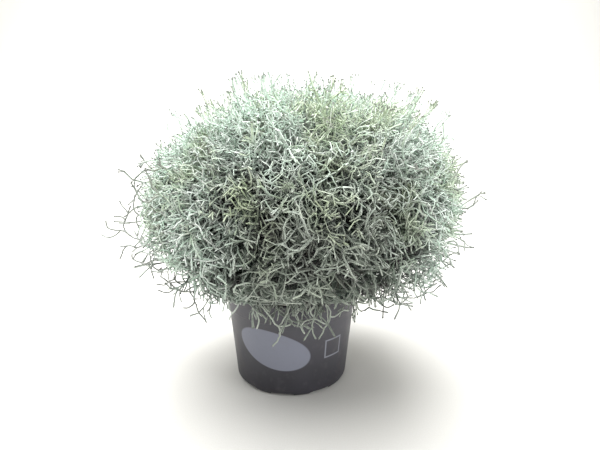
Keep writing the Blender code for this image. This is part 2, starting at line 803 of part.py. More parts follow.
def main():
    clear_scene()
    parts = new_collection(OBJECT_NAME)
    plastic = plain_material("pot_plastic", (0.065, 0.062, 0.075), 0.5)
    peat = plain_material("potting_mix", (0.035, 0.024, 0.016), 0.95)
    silver = plain_material("silver_twig", (0.48, 0.55, 0.49), 0.85)
    rng = np.random.default_rng(SEED)
    stems = plan_stems()
    directions, faces = ico_sphere()
    core_meshes = [(core_points(stem, stems, directions, faces, rng), faces) for stem in stems]
    thicket = Thicket(stems, core_meshes)
    twigs = [[] for _ in stems]
    runner_twigs(stems, thicket, twigs, rng)
    for owner, more in enumerate(rooted_twigs(stems, core_meshes, thicket, rng)):
        twigs[owner] += more
    make_pot(parts, plastic)
    make_root_ball(parts, peat, stems)
    for number, stem in enumerate(stems):
        make_spray(f"spray_{number + 1:02d}", stem, core_meshes[number], twigs[number], parts, silver)


main()
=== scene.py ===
"""Potted cushion bush: a dome of silver, felted, forking twigs in a dark grey trade pot.

Metres, +Z up, the pot's axis on the origin. The photograph looks along +Y.
"""

import json
import math

import bmesh
import bpy
import numpy as np
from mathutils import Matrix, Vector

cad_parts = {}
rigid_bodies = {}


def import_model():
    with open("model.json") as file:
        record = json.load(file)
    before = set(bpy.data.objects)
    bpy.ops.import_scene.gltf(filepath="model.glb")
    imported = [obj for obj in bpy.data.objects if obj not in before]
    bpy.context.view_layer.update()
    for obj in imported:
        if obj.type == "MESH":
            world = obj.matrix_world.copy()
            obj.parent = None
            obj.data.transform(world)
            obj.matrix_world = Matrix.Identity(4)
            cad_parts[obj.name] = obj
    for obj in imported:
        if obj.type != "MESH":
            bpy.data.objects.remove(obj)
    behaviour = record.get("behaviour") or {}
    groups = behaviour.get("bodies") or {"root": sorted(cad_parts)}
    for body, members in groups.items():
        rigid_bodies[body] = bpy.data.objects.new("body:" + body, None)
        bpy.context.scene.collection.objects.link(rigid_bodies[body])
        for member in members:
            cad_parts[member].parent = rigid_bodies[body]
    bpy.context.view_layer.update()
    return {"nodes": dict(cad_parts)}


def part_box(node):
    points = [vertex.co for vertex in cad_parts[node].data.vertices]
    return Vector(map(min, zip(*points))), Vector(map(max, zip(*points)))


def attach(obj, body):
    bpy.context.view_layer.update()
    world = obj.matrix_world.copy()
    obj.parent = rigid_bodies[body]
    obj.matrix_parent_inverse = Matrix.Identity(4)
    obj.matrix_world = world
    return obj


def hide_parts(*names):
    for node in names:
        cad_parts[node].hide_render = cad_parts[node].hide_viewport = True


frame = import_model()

node_boxes = np.array([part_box(name) for name in frame["nodes"]])
BOX_LOW, BOX_HIGH = node_boxes[:, 0].min(axis=0), node_boxes[:, 1].max(axis=0)
SPRAYS = sorted(name for name in frame["nodes"] if name.startswith("spray_"))
MM = 0.001
SEED = 4127
TINY = 1e-12
UP = np.array([0.0, 0.0, 1.0])

# The dome's outline, the same formula and sizes as the CAD model's: its fall in front and at the sides,
# and lobes of azimuth, elevation, spread and share. The last two are only for the fine twigs
DOME_CENTRE = np.array([0.012, 0.0, 0.173])
DOME_RADIUS = 0.143
DOME_RISE = 0.104
DOME_FALL = (0.120, 0.146)
DOME_LOBES = (
    (180.0, -24.0, 26.0, 0.07),
    (160.0, 42.0, 22.0, -0.035),
    (0.0, -28.0, 24.0, -0.03),
    (60.0, 35.0, 25.0, 0.02),
    (250.0, 20.0, 24.0, 0.02),
    (300.0, 55.0, 22.0, -0.02),
    (175.0, 48.0, 18.0, -0.06),
    (0.0, 37.0, 16.0, 0.04),
)
SKIRT_SIDE_HEIGHT = 0.084
# The fine growth stops higher than that at the left and right: from this far out, by this much at
# once and this slope further on
SKIRT_RISE_LEFT = (58 * MM, 19 * MM, 0.36)
SKIRT_RISE_RIGHT = (88 * MM, 4 * MM, 0.48)
SKIRT_RISE_OVER = 14 * MM
SKIRT_FRONT_SLOPE = 0.42
SKIRT_SIDE_SLOPE = 0.5
SKIRT_TURN_POWER = 1.5
POT_HEIGHT = 0.092
LIP_RADIUS = 0.0636
# Grown twigs come no nearer to the pot
CLEAR_HEIGHT = POT_HEIGHT + 2 * MM
CLEAR_RADIUS = LIP_RADIUS + 2 * MM

# Rings of the CAD twigs: corners closer than RING_EDGE belong to one ring, and a tube between two
# rings has six triangles on a three-sided twig and twelve on a six-sided stem
WELD = 0.01 * MM
RING_EDGE = 3.2 * MM
TUBE_TRIANGLES = 5
STEM_TRIANGLES = 10
STEM_SIDES = 5
LONGEST_CHAIN = 24

# Kinds of twig: grown from a hub, from a CAD twig, hung outside the dome from a given list, and raised above
# it
GROWN, LEADER, LOOSE, SPRIG = range(4)

# Growth of the fine twigs: size and count of cells, and the share that stays empty at the top and low down
CELL = 3.6 * MM
GRID = np.ceil((BOX_HIGH - BOX_LOW) / CELL).astype(int) + 2
BLOCKED = (0.06, 0.24)
BLOCKED_CLUMPS = 0.50
BLOCKED_OUTLINE = 0.25
# In the hem at the left, which is the more open, and at the right
BLOCKED_SKIRT = (0.72, 0.52)
BLOCKED_RIM = 1.3
BLOCKED_HEART = 0.45
HEART_DEPTH = 0.050
OUTLINE_FRINGE = 6 * MM
SKIRT_FRINGE = 22 * MM
HEM_FROM = 62 * MM
HEM_OVER = 24 * MM
# Hollows among the clumps: a sum of waves of this length times a random number within the spread
CLUMP_SIZE = 15 * MM
CLUMP_SPREAD = (0.8, 2.2)
CLUMP_WAVES = 12
CLUMP_FULL = 3.5
LOOSE_FROM = 0.215
LOOSE_OVER = 0.085
DROOP = 0.16
ROUNDS = 24
INFILL_FROM = 8
INFILL_SHARE = 0.30
SHELL_DEPTH = 0.085
# The curtain of loose twigs that hangs over the rim in front
APRON_FOOT = 66 * MM
APRON_FALL = 26 * MM
APRON_TOP = 102 * MM
APRON_GAP = 1.8 * MM
APRON_THICK = 13 * MM
APRON_FRONTNESS = 0.55
BLOCKED_APRON = (0.15, 0.90)
# The corner of the rim at the left, which stays nearly bare up to a little above the lip
BARE_CORNER_SIDE = -37 * MM
BARE_CORNER_FRONT = -15 * MM
BARE_CORNER_TOP = 107 * MM
BLOCKED_CORNER = 0.95
FORK_DEG = (38.0, 76.0)
TURN_SCATTER = 0.4
SIDE_SCATTER = 0.5
LEADING = 0.40
LEADING_SHARE = 0.55
CURL_DEG = (26.0, 56.0)
UPTURN = 0.45
# Twigs above the rim in front, which lean down and forwards over it
RIM_PULL = np.array([0.0, -0.30, -0.75])
RIM_SHARE = 0.5
RIM_LAYER = 16 * MM
RIM_SOURCE = 34 * MM
INFILL_DEG = (35.0, 85.0)
HUB_WAYS = 9
HUB_OUTWARD = 2
THREE_WAY = 0.16
OUTWARD = 0.13
# Added at the outline of the upper dome, where the tips stand up like a fine pile
TIP_OUTWARD = 0.30
# Length of a stretch at the outline and deep inside it, and what is added low down and in the hem
STRETCH = (4.8 * MM, 8.6 * MM)
STRETCH_DEEP = 0.045
STRETCH_LOOSE = 2.9 * MM
STRETCH_HEM = 2.0 * MM
STRETCH_SPREAD = (0.75, 1.25)
# How far past the dome twigs may end: mean and scatter for each run, and the scatter of each twig
OUTLINE_SCATTER = (-1 * MM, 3.2 * MM)
REACH_SCATTER = 1 * MM
# Share of stragglers, and how far they reach past the upper dome and at its sides
STRAGGLERS = 0.10
STRAGGLER_REACH = (9 * MM, 3 * MM)
# Sprigs that stand out above the upper dome
SPRIG_COUNT = 84
SPRIG_FROM = 0.236
SPRIG_SOURCE = 3 * MM
SPRIG_STEPS = 4
SPRIG_FORKS = 0.45
SPRIG_DEG = (14.0, 44.0)
SPRIG_PULL = 0.55
SPRIG_OUTWARD = 0.4
SPRIG_THIN = 0.78
RUNNER_SPROUT = 6 * MM
BOX_MARGIN = 1.0 * MM
BOX_SKIN = 0.05 * MM

# Thickness of the twigs: tips at the top and low down, and the stem at its foot and higher up
TIP_RADIUS = (0.40 * MM, 0.52 * MM)
LOAD_POWER = 0.19
THICKEST = 1.15 * MM
LEADER_RADIUS = 0.50 * MM
LOOSE_RADIUS = 0.82 * MM
LOOSE_TIP = 0.86
STEM_RADIUS = (1.9 * MM, 1.4 * MM)
STEM_TAPER = 0.1
MOST_STRETCHES = 90
# A ring's side is carried from the parent unless less than this of it is square to the twig
LEAST_SIDE = 0.3
# Tone: the share carried along a run of twigs, each twig's own, and the set tones
TONE_CARRIED = 0.85
TONE_OWN = 0.3
LEADER_TONE = -0.2
LOOSE_TONE = 1.2
BOW = 0.075
KNOT_SWELL = 1.22
# A side twig starts inside its parent, thicker, and between its own direction and the parent's
BRANCH_SWELL = 1.05
BRANCH_SINK = 0.2 * MM
BRANCH_LEAVING = (0.55, 0.45)
# Buds: their share outside the dome and inside, and where along them they are thickest
BUD_SHARE = (0.8, 0.35)
BUD_OUTSIDE = 1 * MM
BUD_RADIUS = (0.75 * MM, 1.10 * MM)
BUD_LENGTH = 2.0 * MM
BUD_MIDDLE = 0.4
TIP_SWELL = 1.25
TIP_LENGTH = 1.0 * MM

# Shading: shade deepens over the first depth, and over the second too in the open top. Painted shade
# greys twigs this far outside the dome below a height, and this far below the hem
SHADE_DEPTH = (0.044, 0.056)
OPEN_FROM, OPEN_OVER = 0.19, 0.08
SHADE_BELOW_FROM, SHADE_BELOW_OVER = 0.240, 0.05
SHADE_BELOW_OUT = 5 * MM
SHADE_BELOW_SKIRT = 4 * MM
SHADE_BELOW_HEM = 0.35
WOOD_RADIUS_MM, WOOD_OVER_MM = 0.8, 0.8
# Middle across the dome for the painted light on its sides
MINT_LIGHT_MIDDLE = 0.02

# Random patterns of the finishes: size in millimetres, and count of finer octaves
WOOL_PATTERNS = (
    # Patches where the bark's green shows
    (38.5, 2.0),
    # Patches of bare brown twigs in the depth
    (25.0, 1.0),
    # Tufts of wool, drawn coarser than the real 0.3 mm so that they show
    (1.22, 1.0),
)
# Clouds of slightly duller plastic, grain of the mould's face, and dusty water marks
PLASTIC_PATTERNS = ((20.8, 3.0), (0.526, 2.0), (6.25, 4.0))
# Crumbs, and fibres of bark
PEAT_PATTERNS = ((2.083, 4.0), (0.4545, 2.0))
# Mottle of the paper
PAPER_PATTERN = (1.11, 2.0)

# Pot, the same sizes as the CAD model's
BAND_RADIUS = 0.0624
BAND_HEIGHT = 0.018
BAND_STEP = 0.0014
BAND_LEAN = 0.0005
BAND_ROUND = 0.0005
WALL_TOP_RADIUS = 0.0612
BASE_RADIUS = 0.0545
POT_WALL = 0.0011
FLOOR_CHAMFER = 0.0020
FLOOR_MIDDLE = 0.006
LIP_DEPTH = 0.0022
LIP_ROUND = 0.0006
LIP_UNDER_ROUND = 0.0004
CORNER_RADIUS = 0.0045
FOOT_INNER_RADIUS = 0.0435
FOOT_HEIGHT = 0.0034
FOOT_DRAFT = 0.0009
FOOT_LEAN = 0.0001
FLOOR_TOP = 0.0048
PAD_RADIUS = 0.0145
PAD_MIDDLE = 0.3 * PAD_RADIUS
EDGE = 0.0003
SLOT_COUNT = 9
SLOT_WIDTH = 0.0235
SLOT_HEIGHT = 0.0030
SLOT_EDGE = 0.0006
SLOT_COLUMNS = 9
SLOT_SHOULDER = 0.75
SLOT_FIRST_DEG = -99.0
DRAIN_RADIUS = 0.0035
DRAIN_RING_RADIUS = 0.033
DRAIN_COUNT = 6
DRAIN_SIDES = 24
# The wall's unevenness: height, waves round the pot and phase, faded out at its foot and head
WALL_WAVES = ((0.10 * MM, 3, 0.6), (0.07 * MM, 7, 2.0))
WALL_INSET = 0.12 * MM
WALL_FOOT = 0.010
WALL_SPAN = 0.072
SHARP_DEG = 38

# Printed marks on the unrolled wall, from the middle of the front and the ground: each one's middle and
# half sizes, and the softness of its edge
UNROLL_RADIUS = 0.0585
OVAL_PLACE = (-0.0165, 0.0475, 0.0)
OVAL_HALF = (0.0355, 0.0185, 1.0)
OVAL_TILT = math.radians(-14)
OVAL_SOFT = 0.04
SQUARE_PLACE = (0.0425, 0.0452, 0.0)
SQUARE_HALF = (0.0097, 0.0092, 0.0)
HALF_LINE = 0.7 * MM
SQUARE_SOFT = 0.2 * MM

# Potting mix: a gap to the wall, roundings, and the waves and crumbs of its top
SOIL_TOP = 0.0868
SOIL_GAP = 0.00045
SOIL_MIDDLE = 0.003
SOIL_FOOT_ROUND = (0.0025, 0.002)
SOIL_WALL_DROP = 0.0016
SOIL_SHOULDER = (0.0006, 0.0008)
SOIL_SIDES = 96
SOIL_WAVES = 26
SOIL_WAVE_MM = (1.6, 9.0)
SOIL_ANY_PHASE = 6.3
SOIL_WAVES_OVER = 5.0
SOIL_BUMP = 0.55 * MM
SOIL_BUMPS_FROM = 0.0009
CRUMB_COUNT = 420
CRUMB_REACH = 0.0575
CRUMB_MM = (0.5, 1.7)
CRUMB_SCALE = (0.6, 1.2)
CRUMB_KNOBS = (0.75, 1.2)
CRUMB_RAISE = 0.3 * MM

# Paper sweep: where it starts and ends, and how far it goes up, bends and reaches to each side
SWEEP_FRONT, SWEEP_BACK = -1.6, 1.7
SWEEP_HEIGHT, SWEEP_BEND, SWEEP_WIDTH = 2.4, 0.7, 3.2
SWEEP_DROP = 0.05 * MM
FLOOR_ROWS, BEND_ROWS, BACK_ROWS, SWEEP_COLUMNS = 11, 24, 6, 9
# Soft lights: name, place, target, size and power. The last one lights the paper behind
LIGHTS = (
    ("top_softbox", (-0.22, 0.0, 1.5), (0.0, 0.0, 0.15), 1.8, 60.0),
    ("front_softbox", (-0.8, -1.3, 0.7), (0.0, 0.0, 0.12), 0.6, 3.6),
    ("right_softbox", (1.1, -0.7, 0.5), (0.0, 0.0, 0.12), 0.6, 9.0),
    ("back_softbox", (0.0, 0.9, 1.9), (0.0, 1.7, 0.9), 1.6, 54.0),
)
WHITE = (1.0, 1.0, 1.0, 1.0)
ROOM_LIGHT = 0.385
# The photograph's place and tilt
CAMERA_PLACE = (0.0085, -0.448, 0.253)
CAMERA_DOWN_DEG = 13.0
LENS, SENSOR = 28.8, 36.0
NEAREST_SEEN = 0.01

# Loose twigs outside the dome, in millimetres. Each grows from whatever lies nearest to its first point
LOOSE_TWIGS = (
    # Over the rim in front
    ((-27, -70, 104), (-24, -74.5, 98), (-19.8, -76, 93.5), (-14.5, -77, 87), (-9.4, -77, 80.5)),
    ((-9.4, -77, 80.5), (-4, -79, 81.8), (0.2, -79, 83.2)),
    ((-9.4, -77, 80.5), (-8.0, -77, 75), (-8.4, -76, 70.9), (-10.5, -75, 66), (-14.3, -74, 61.5)),
    ((-40, -62, 104), (-43, -66, 98), (-47, -66, 90), (-52.6, -63, 80.5)),
    ((-9.4, -77, 80.5), (-5, -76, 87), (-1, -74, 94), (1, -71, 101)),
    ((-43, -58, 108), (-49, -56, 102), (-53, -54, 95), (-54, -53, 88), (-51, -54, 82)),
    ((-40, -62, 103), (-35, -66, 97), (-28, -71, 91), (-20, -74, 86)),
    ((-28, -71, 91), (-26, -73, 84), (-28, -73, 77)),
    ((-6, -66, 110), (-11, -70, 103), (-14, -72, 96)),
    ((-6, -66, 110), (-1, -71, 104), (5, -74, 100), (7, -74, 94)),
    ((10, -68, 108), (10, -72, 101), (14, -73, 96)),
    ((29, -66, 104), (32, -69, 95), (34, -71, 87), (32, -72, 80), (28, -73, 73), (25, -73, 68)),
    ((32, -72, 80), (25, -74, 84), (18, -75, 86), (12, -75, 84), (9, -74, 79), (12, -74, 73)),
    ((34, -71, 87), (38, -69, 86), (43, -66, 89), (50, -61, 88)),
    ((40, -62, 106), (41, -64, 98), (38, -66, 92)),
    ((-20, -68, 106), (-22, -72, 98), (-18, -74, 93)),
    ((20, -68, 106), (21, -73, 99), (17, -75, 94), (19, -75, 89)),
    # Low at the right and left
    ((58, -44, 94), (60, -44, 85), (64, -42, 79), (71, -40, 82), (80, -40, 79), (89, -38, 76)),
    ((70, -36, 96), (79, -37, 87), (88, -38, 81), (94, -38, 84)),
    ((48, -56, 100), (55, -54, 93), (58, -52, 86), (55, -51, 80)),
    ((-93, -30, 97), (-92, -31, 91), (-89, -32, 84), (-87, -32, 77), (-83, -32, 70), (-80, -32, 66)),
    ((-89, -32, 84), (-93, -34, 80), (-99, -34, 79)),
    # Loops below the hem at the left
    ((-124, -30, 138), (-128, -30, 131), (-127, -30, 122),
     (-121, -30, 114), (-114, -30, 116), (-110, -30, 123)),
    ((-118, -28, 116), (-119, -30, 108), (-113, -30, 103),
     (-105, -30, 103), (-96, -30, 103), (-88, -30, 108)),
    ((-104, -32, 115), (-106, -32, 106), (-100, -32, 101), (-94, -32, 105), (-93, -32, 112)),
    ((-112, -30, 103), (-107, -30, 97), (-99, -30, 93), (-90, -30, 93), (-84, -30, 99), (-85, -30, 106)),
    ((-107, -30, 97), (-110, -30, 94), (-115, -30, 92), (-121, -30, 94)),
    ((-90, -30, 93), (-90, -30, 86)),
    ((-84, -30, 99), (-80, -30, 93), (-73, -30, 91), (-68, -30, 94), (-65, -30, 101)),
    ((-66, -34, 106), (-75, -34, 103), (-83, -34, 101), (-90, -34, 99), (-96, -34, 95)),
    ((-78, -26, 110), (-77, -26, 103), (-81, -26, 97), (-79, -26, 90), (-75, -26, 86)),
    ((-100, -24, 112), (-101, -24, 105), (-97, -24, 98), (-100, -24, 92)),
    ((-113, -30, 103), (-117, -28, 99), (-123, -28, 100)),
    # Loops below the hem at the right
    ((118, -28, 116), (126, -30, 113), (134, -30, 114), (138, -30, 111)),
    ((114, -30, 110), (121, -30, 106), (127, -30, 104), (134, -30, 105), (139, -30, 108)),
    ((92, -32, 92), (103, -32, 88), (114, -32, 88), (122, -32, 91), (131, -32, 94), (137, -32, 100)),
    ((122, -32, 91), (125, -32, 96), (130, -32, 100), (131, -32, 104)),
    ((84, -34, 90), (94, -34, 85), (100, -34, 82), (107, -34, 83), (112, -34, 84)),
    ((107, -34, 83), (111, -34, 77)),
    ((100, -26, 98), (106, -28, 94), (109, -28, 88), (105, -28, 83)),
    # The spray that leaves the bush at the left
    ((-112, -24, 139), (-120, -27, 139), (-128, -29, 141),
     (-135, -30, 143), (-145, -31, 148), (-152, -31, 152)),
    ((-152, -31, 152), (-156, -31, 148), (-163, -31, 145), (-169, -30, 147)),
    ((-152, -31, 152), (-158, -33, 153), (-162, -34, 155), (-163, -34, 160)),
    ((-145, -31, 148), (-150, -29, 155), (-148, -28, 161), (-145, -28, 167), (-143, -28, 172)),
    ((-145, -28, 167), (-149, -29, 173), (-151, -29, 177)),
    ((-148, -28, 161), (-152, -28, 164), (-156, -29, 164)),
    ((-122, -20, 157), (-129, -24, 161), (-136, -27, 165), (-140, -28, 171), (-138, -28, 182)),
    ((-136, -27, 165), (-139, -26, 160), (-138, -25, 154)),
    ((-128, -29, 141), (-133, -33, 138), (-139, -35, 137), (-145, -36, 139), (-151, -36, 138)),
    ((-145, -36, 139), (-149, -37, 135), (-152, -37, 128)),
    ((-118, -28, 128), (-126, -30, 123), (-131, -31, 121),
     (-137, -31, 122), (-143, -31, 125), (-144, -30, 129)),
    ((-120, -35, 133), (-128, -36, 132), (-134, -37, 134), (-138, -38, 131), (-140, -38, 128)),
    ((-135, -30, 143), (-133, -27, 149), (-131, -25, 155), (-129, -23, 161)),
)

TRIANGLE_TURNS = np.radians([0.0, 120.0, 240.0])
NEXT_CORNER = [1, 2, 0]


def unit(rows):
    """Each row divided by its length."""
    return rows / np.maximum(np.linalg.norm(rows, axis=-1, keepdims=True), TINY)


def squared(sides, axes):
    """Each side less its share along its axis, so that the two are square."""
    return sides - (sides * axes).sum(axis=1, keepdims=True) * axes


def ramp(rise, over):
    """Nought up to a rise of nought, one from a rise of the given height on, and even in between."""
    return np.clip(rise / over, 0, 1)


def along(ends, share):
    """The value at a share of the way from the first end to the second."""
    return ends[0] + (ends[1] - ends[0]) * share


def from_axis(points):
    """Distance of each point from the pot's axis."""
    return np.hypot(points[:, 0], points[:, 1])


def from_angles(azimuth_deg, elevation_deg):
    """Unit vector at an azimuth from +X and an elevation from the ground."""
    azimuth, elevation = math.radians(azimuth_deg), math.radians(elevation_deg)
    level = math.cos(elevation)
    return np.array([level * math.cos(azimuth), level * math.sin(azimuth), math.sin(elevation)])


def beyond_dome(points):
    """Distance of each point from the dome's centre, less the dome's reach in that direction.

    The reach is an ellipsoid's, 1 / sqrt((level / radius)^2 + (height / rise or fall)^2), times one
    plus a Gaussian of the angle to each lobe.
    """
    directions = unit(points - DOME_CENTRE)
    level = from_axis(directions)
    sideways = np.abs(directions[:, 0]) / np.maximum(level, TINY)
    height = np.where(directions[:, 2] > 0, DOME_RISE, along(DOME_FALL, sideways**2))
    reach = 1 / np.sqrt((level / DOME_RADIUS) ** 2 + (directions[:, 2] / height) ** 2)
    for azimuth, elevation, spread, share in DOME_LOBES:
        angle = np.degrees(np.arccos(np.clip(directions @ from_angles(azimuth, elevation), -1, 1)))
        reach = reach * (1 + share * np.exp(-((angle / spread) ** 2)))
    return np.linalg.norm(points - DOME_CENTRE, axis=1) - reach


def skirt_height(points):
    """Lowest height of the foliage: level at the sides, rising with the distance from the rim in front."""
    radius = from_axis(points)
    frontness = ramp(-points[:, 1], np.maximum(radius, TINY))
    past_rim = np.maximum(radius - LIP_RADIUS, 0)
    front = CLEAR_HEIGHT + SKIRT_FRONT_SLOPE * past_rim
    side = np.maximum(CLEAR_HEIGHT - SKIRT_SIDE_SLOPE * past_rim, SKIRT_SIDE_HEIGHT)
    lowest = along((side, front), frontness**SKIRT_TURN_POWER)
    for sign, (start, step, slope) in ((-1, SKIRT_RISE_LEFT), (1, SKIRT_RISE_RIGHT)):
        past = np.maximum(sign * points[:, 0] - start, 0)
        least = SKIRT_SIDE_HEIGHT + step * ramp(past, SKIRT_RISE_OVER) + slope * past
        lowest = np.where(past > 0, np.maximum(lowest, least), lowest)
    return lowest


def welded(node):
    """Corners and triangles of a CAD node, with its doubles made one."""
    shape = bmesh.new()
    shape.from_mesh(frame["nodes"][node].data)
    bmesh.ops.remove_doubles(shape, verts=shape.verts, dist=WELD)
    bmesh.ops.triangulate(shape, faces=shape.faces)
    mesh = bpy.data.meshes.new("welded")
    shape.to_mesh(mesh)
    shape.free()
    points = np.empty(3 * len(mesh.vertices))
    mesh.vertices.foreach_get("co", points)
    corners = np.empty(3 * len(mesh.polygons), np.int32)
    mesh.polygons.foreach_get("vertices", corners)
    bpy.data.meshes.remove(mesh)
    return points.reshape(-1, 3), corners.reshape(-1, 3)


def lowest_reached(values, pairs):
    """Carry the lower value along every pair, again and again, until joined items share the lowest."""
    values = values.copy()
    for _ in range(LONGEST_CHAIN):
        low = values[pairs].min(axis=1)
        np.minimum.at(values, pairs[:, 0], low)
        np.minimum.at(values, pairs[:, 1], low)
    return values


def skeleton(node):
    """The centre lines of a CAD spray: ring centres, the parent of each, and which belong to the stem.

    Corners joined by short edges are one ring, whose centre is their mean. Two rings with a tube's
    count of triangles between them are neighbours. Each tree starts at its ring nearest to the core,
    the stem's at its foot, and steps are counted outwards from there.
    """
    points, triangles = welded(node)
    edges = np.vstack([triangles[:, [0, 1]], triangles[:, [1, 2]], triangles[:, [2, 0]]])
    short = np.linalg.norm(points[edges[:, 0]] - points[edges[:, 1]], axis=1) < RING_EDGE
    label = lowest_reached(np.arange(len(points)), edges[short])
    label = np.unique(label, return_inverse=True)[1]
    size = np.bincount(label)
    middles = np.stack([np.bincount(label, points[:, axis]) for axis in range(3)], axis=1) / size[:, None]
    core = middles[size == 1].mean(axis=0)
    trio = np.sort(label[triangles], axis=1)
    two = (trio[:, 0] != trio[:, 2]) & ((trio[:, 0] == trio[:, 1]) | (trio[:, 1] == trio[:, 2]))
    pairs, count = np.unique(trio[two][:, [0, 2]], axis=0, return_counts=True)
    tube = count >= TUBE_TRIANGLES
    pairs, thick = pairs[tube], count[tube] >= STEM_TRIANGLES
    tree = lowest_reached(np.arange(len(middles)), pairs)
    thick &= size[pairs].min(axis=1) >= STEM_SIDES
    trunk = lowest_reached(np.arange(len(middles)), pairs[thick])
    in_soil = np.isin(trunk, trunk[middles[:, 2] < POT_HEIGHT])
    stem = np.isin(np.arange(len(middles)), pairs[thick]) & in_soil
    order = np.where(stem, middles[:, 2], np.linalg.norm(middles - core, axis=1))
    first = np.lexsort((order, tree))
    roots = first[np.unique(tree[first], return_index=True)[1]]
    steps = np.full(len(middles), len(middles))
    steps[roots] = 0
    for _ in range(LONGEST_CHAIN):
        np.minimum.at(steps, pairs[:, 0], steps[pairs[:, 1]] + 1)
        np.minimum.at(steps, pairs[:, 1], steps[pairs[:, 0]] + 1)
    parent = np.full(len(middles), -1)
    outward = np.where((steps[pairs[:, 1]] > steps[pairs[:, 0]])[:, None], pairs, pairs[:, ::-1])
    parent[outward[:, 1]] = outward[:, 0]
    used = np.unique(pairs)
    renumber = np.full(len(middles), -1)
    renumber[used] = np.arange(len(used))
    kept_parent = np.where(parent[used] >= 0, renumber[parent[used]], -1)
    return middles[used], kept_parent, stem[used], core


def any_side(headings, rng):
    """A unit vector square to each heading, turned by chance."""
    return unit(np.cross(headings, rng.normal(size=headings.shape)))


def nearest_of(point, rows, candidates):
    """The candidate whose place lies nearest to a point."""
    return candidates[np.argmin(np.linalg.norm(rows[candidates] - point, axis=1))]


def add_nodes(bush, owner, kind, parent, place, heading, side, given=False):
    """Append nodes to the table and return their numbers; owner and kind may be one value for them all."""
    count = len(parent)
    rows = {"parent": parent, "place": place, "heading": heading, "side": side, "stem": np.zeros(count, bool)}
    rows |= {"owner": np.full(count, owner), "tree": np.full(count, kind), "given": np.full(count, given)}
    for key, value in rows.items():
        bush[key] = np.concatenate([bush[key], value])
    return np.arange(len(bush["place"]) - count, len(bush["place"]))


def start_bush(rng):
    """All CAD centre lines as one table of nodes, and a hub in each core where the fine growth starts."""
    places, parents, stems, cores = zip(*map(skeleton, SPRAYS))
    place, stem, hubs = np.concatenate(places), np.concatenate(stems), np.array(cores)
    owner = np.repeat(np.arange(len(SPRAYS)), [len(rows) for rows in places])
    parent = np.concatenate(parents)
    parent = np.where(parent >= 0, parent + np.searchsorted(owner, owner), -1)
    heading = unit(place - np.where(parent[:, None] >= 0, place[parent], hubs[owner]))
    bush = {
        "place": place, "parent": parent, "owner": owner, "stem": stem, "tree": np.where(stem, GROWN, LEADER),
        "heading": heading, "side": any_side(heading, rng), "given": np.ones(len(place), bool),
    }
    numbers = np.arange(len(hubs))
    tops = [nearest_of(hubs[number], place, np.flatnonzero((owner == number) & stem)) for number in numbers]
    rising = unit(hubs - place[tops])
    heading = unit(rising + HUB_OUTWARD * unit(hubs - DOME_CENTRE))
    add_nodes(bush, numbers, GROWN, np.array(tops), hubs, heading, any_side(rising, rng))
    return bush, hubs


def cell_of(points):
    """Number of the cubic cell that holds each point."""
    index = np.clip(((points - BOX_LOW) / CELL).astype(int) + 1, 0, GRID - 1)
    return np.ravel_multi_index(tuple(index.T), tuple(GRID))


def lowness_of(points):
    """Nought in the upper dome, one in its lowest third, where the bush is open and its twigs longer."""
    return ramp(LOOSE_FROM - points[:, 2], LOOSE_OVER)


def blocked_cells(rng):
    """Cells that stay empty: some by chance alone, more in the hollows of a sum of sine waves."""
    centres = BOX_LOW + (np.indices(GRID).reshape(3, -1).T - 0.5) * CELL
    waves = np.zeros(len(centres))
    for _ in range(CLUMP_WAVES):
        direction = unit(rng.normal(size=3)) * 2 * np.pi / (CLUMP_SIZE * rng.uniform(*CLUMP_SPREAD))
        waves += np.sin(centres @ direction + rng.uniform(0, 2 * np.pi))
    hollow = ramp(waves, CLUMP_FULL)
    beyond = beyond_dome(centres)
    share = along(BLOCKED, lowness_of(centres)) + BLOCKED_CLUMPS * hollow
    open_hem = np.where(centres[:, 0] < 0, *BLOCKED_SKIRT)
    share += BLOCKED_OUTLINE * (1 - ramp(-beyond, OUTLINE_FRINGE)) + open_hem * side_hem(centres)
    share = np.where(near_rim(centres, RIM_LAYER), BLOCKED[0] + BLOCKED_RIM * hollow, share)
    share = np.where(beyond < -HEART_DEPTH, BLOCKED_HEART, share)
    curtain = in_apron(centres) & (centres[:, 2] < APRON_TOP)
    share = np.where(curtain, along(BLOCKED_APRON, ramp(APRON_TOP - centres[:, 2], APRON_FALL)), share)
    share = np.where(in_bare_corner(centres), BLOCKED_CORNER, share)
    return rng.uniform(size=len(centres)) < share


def near_rim(points, layer):
    """True in the lowest layer of twigs above the pot and its rim."""
    return (from_axis(points) < LIP_RADIUS + APRON_THICK) & (points[:, 2] < POT_HEIGHT + layer)


def in_bare_corner(points):
    """True beside and below the lip at the left of the pot's front."""
    corner = (points[:, 0] < BARE_CORNER_SIDE) & (points[:, 1] < BARE_CORNER_FRONT)
    return corner & (from_axis(points) < LIP_RADIUS + APRON_THICK) & (points[:, 2] < BARE_CORNER_TOP)


def in_apron(points):
    """True in a thin upright curtain in front of the pot's rim, down to its foot."""
    radius = from_axis(points)
    near = (radius > LIP_RADIUS + APRON_GAP) & (radius < LIP_RADIUS + APRON_THICK)
    return near & (-points[:, 1] > APRON_FRONTNESS * radius) & (points[:, 2] > APRON_FOOT)


def side_hem(points):
    """One at the foliage's lowest height left and right of the pot, nought above, in front and behind."""
    hem = 1 - ramp(points[:, 2] - skirt_height(points), SKIRT_FRINGE)
    return hem * ramp(np.abs(points[:, 0]) - HEM_FROM, HEM_OVER)


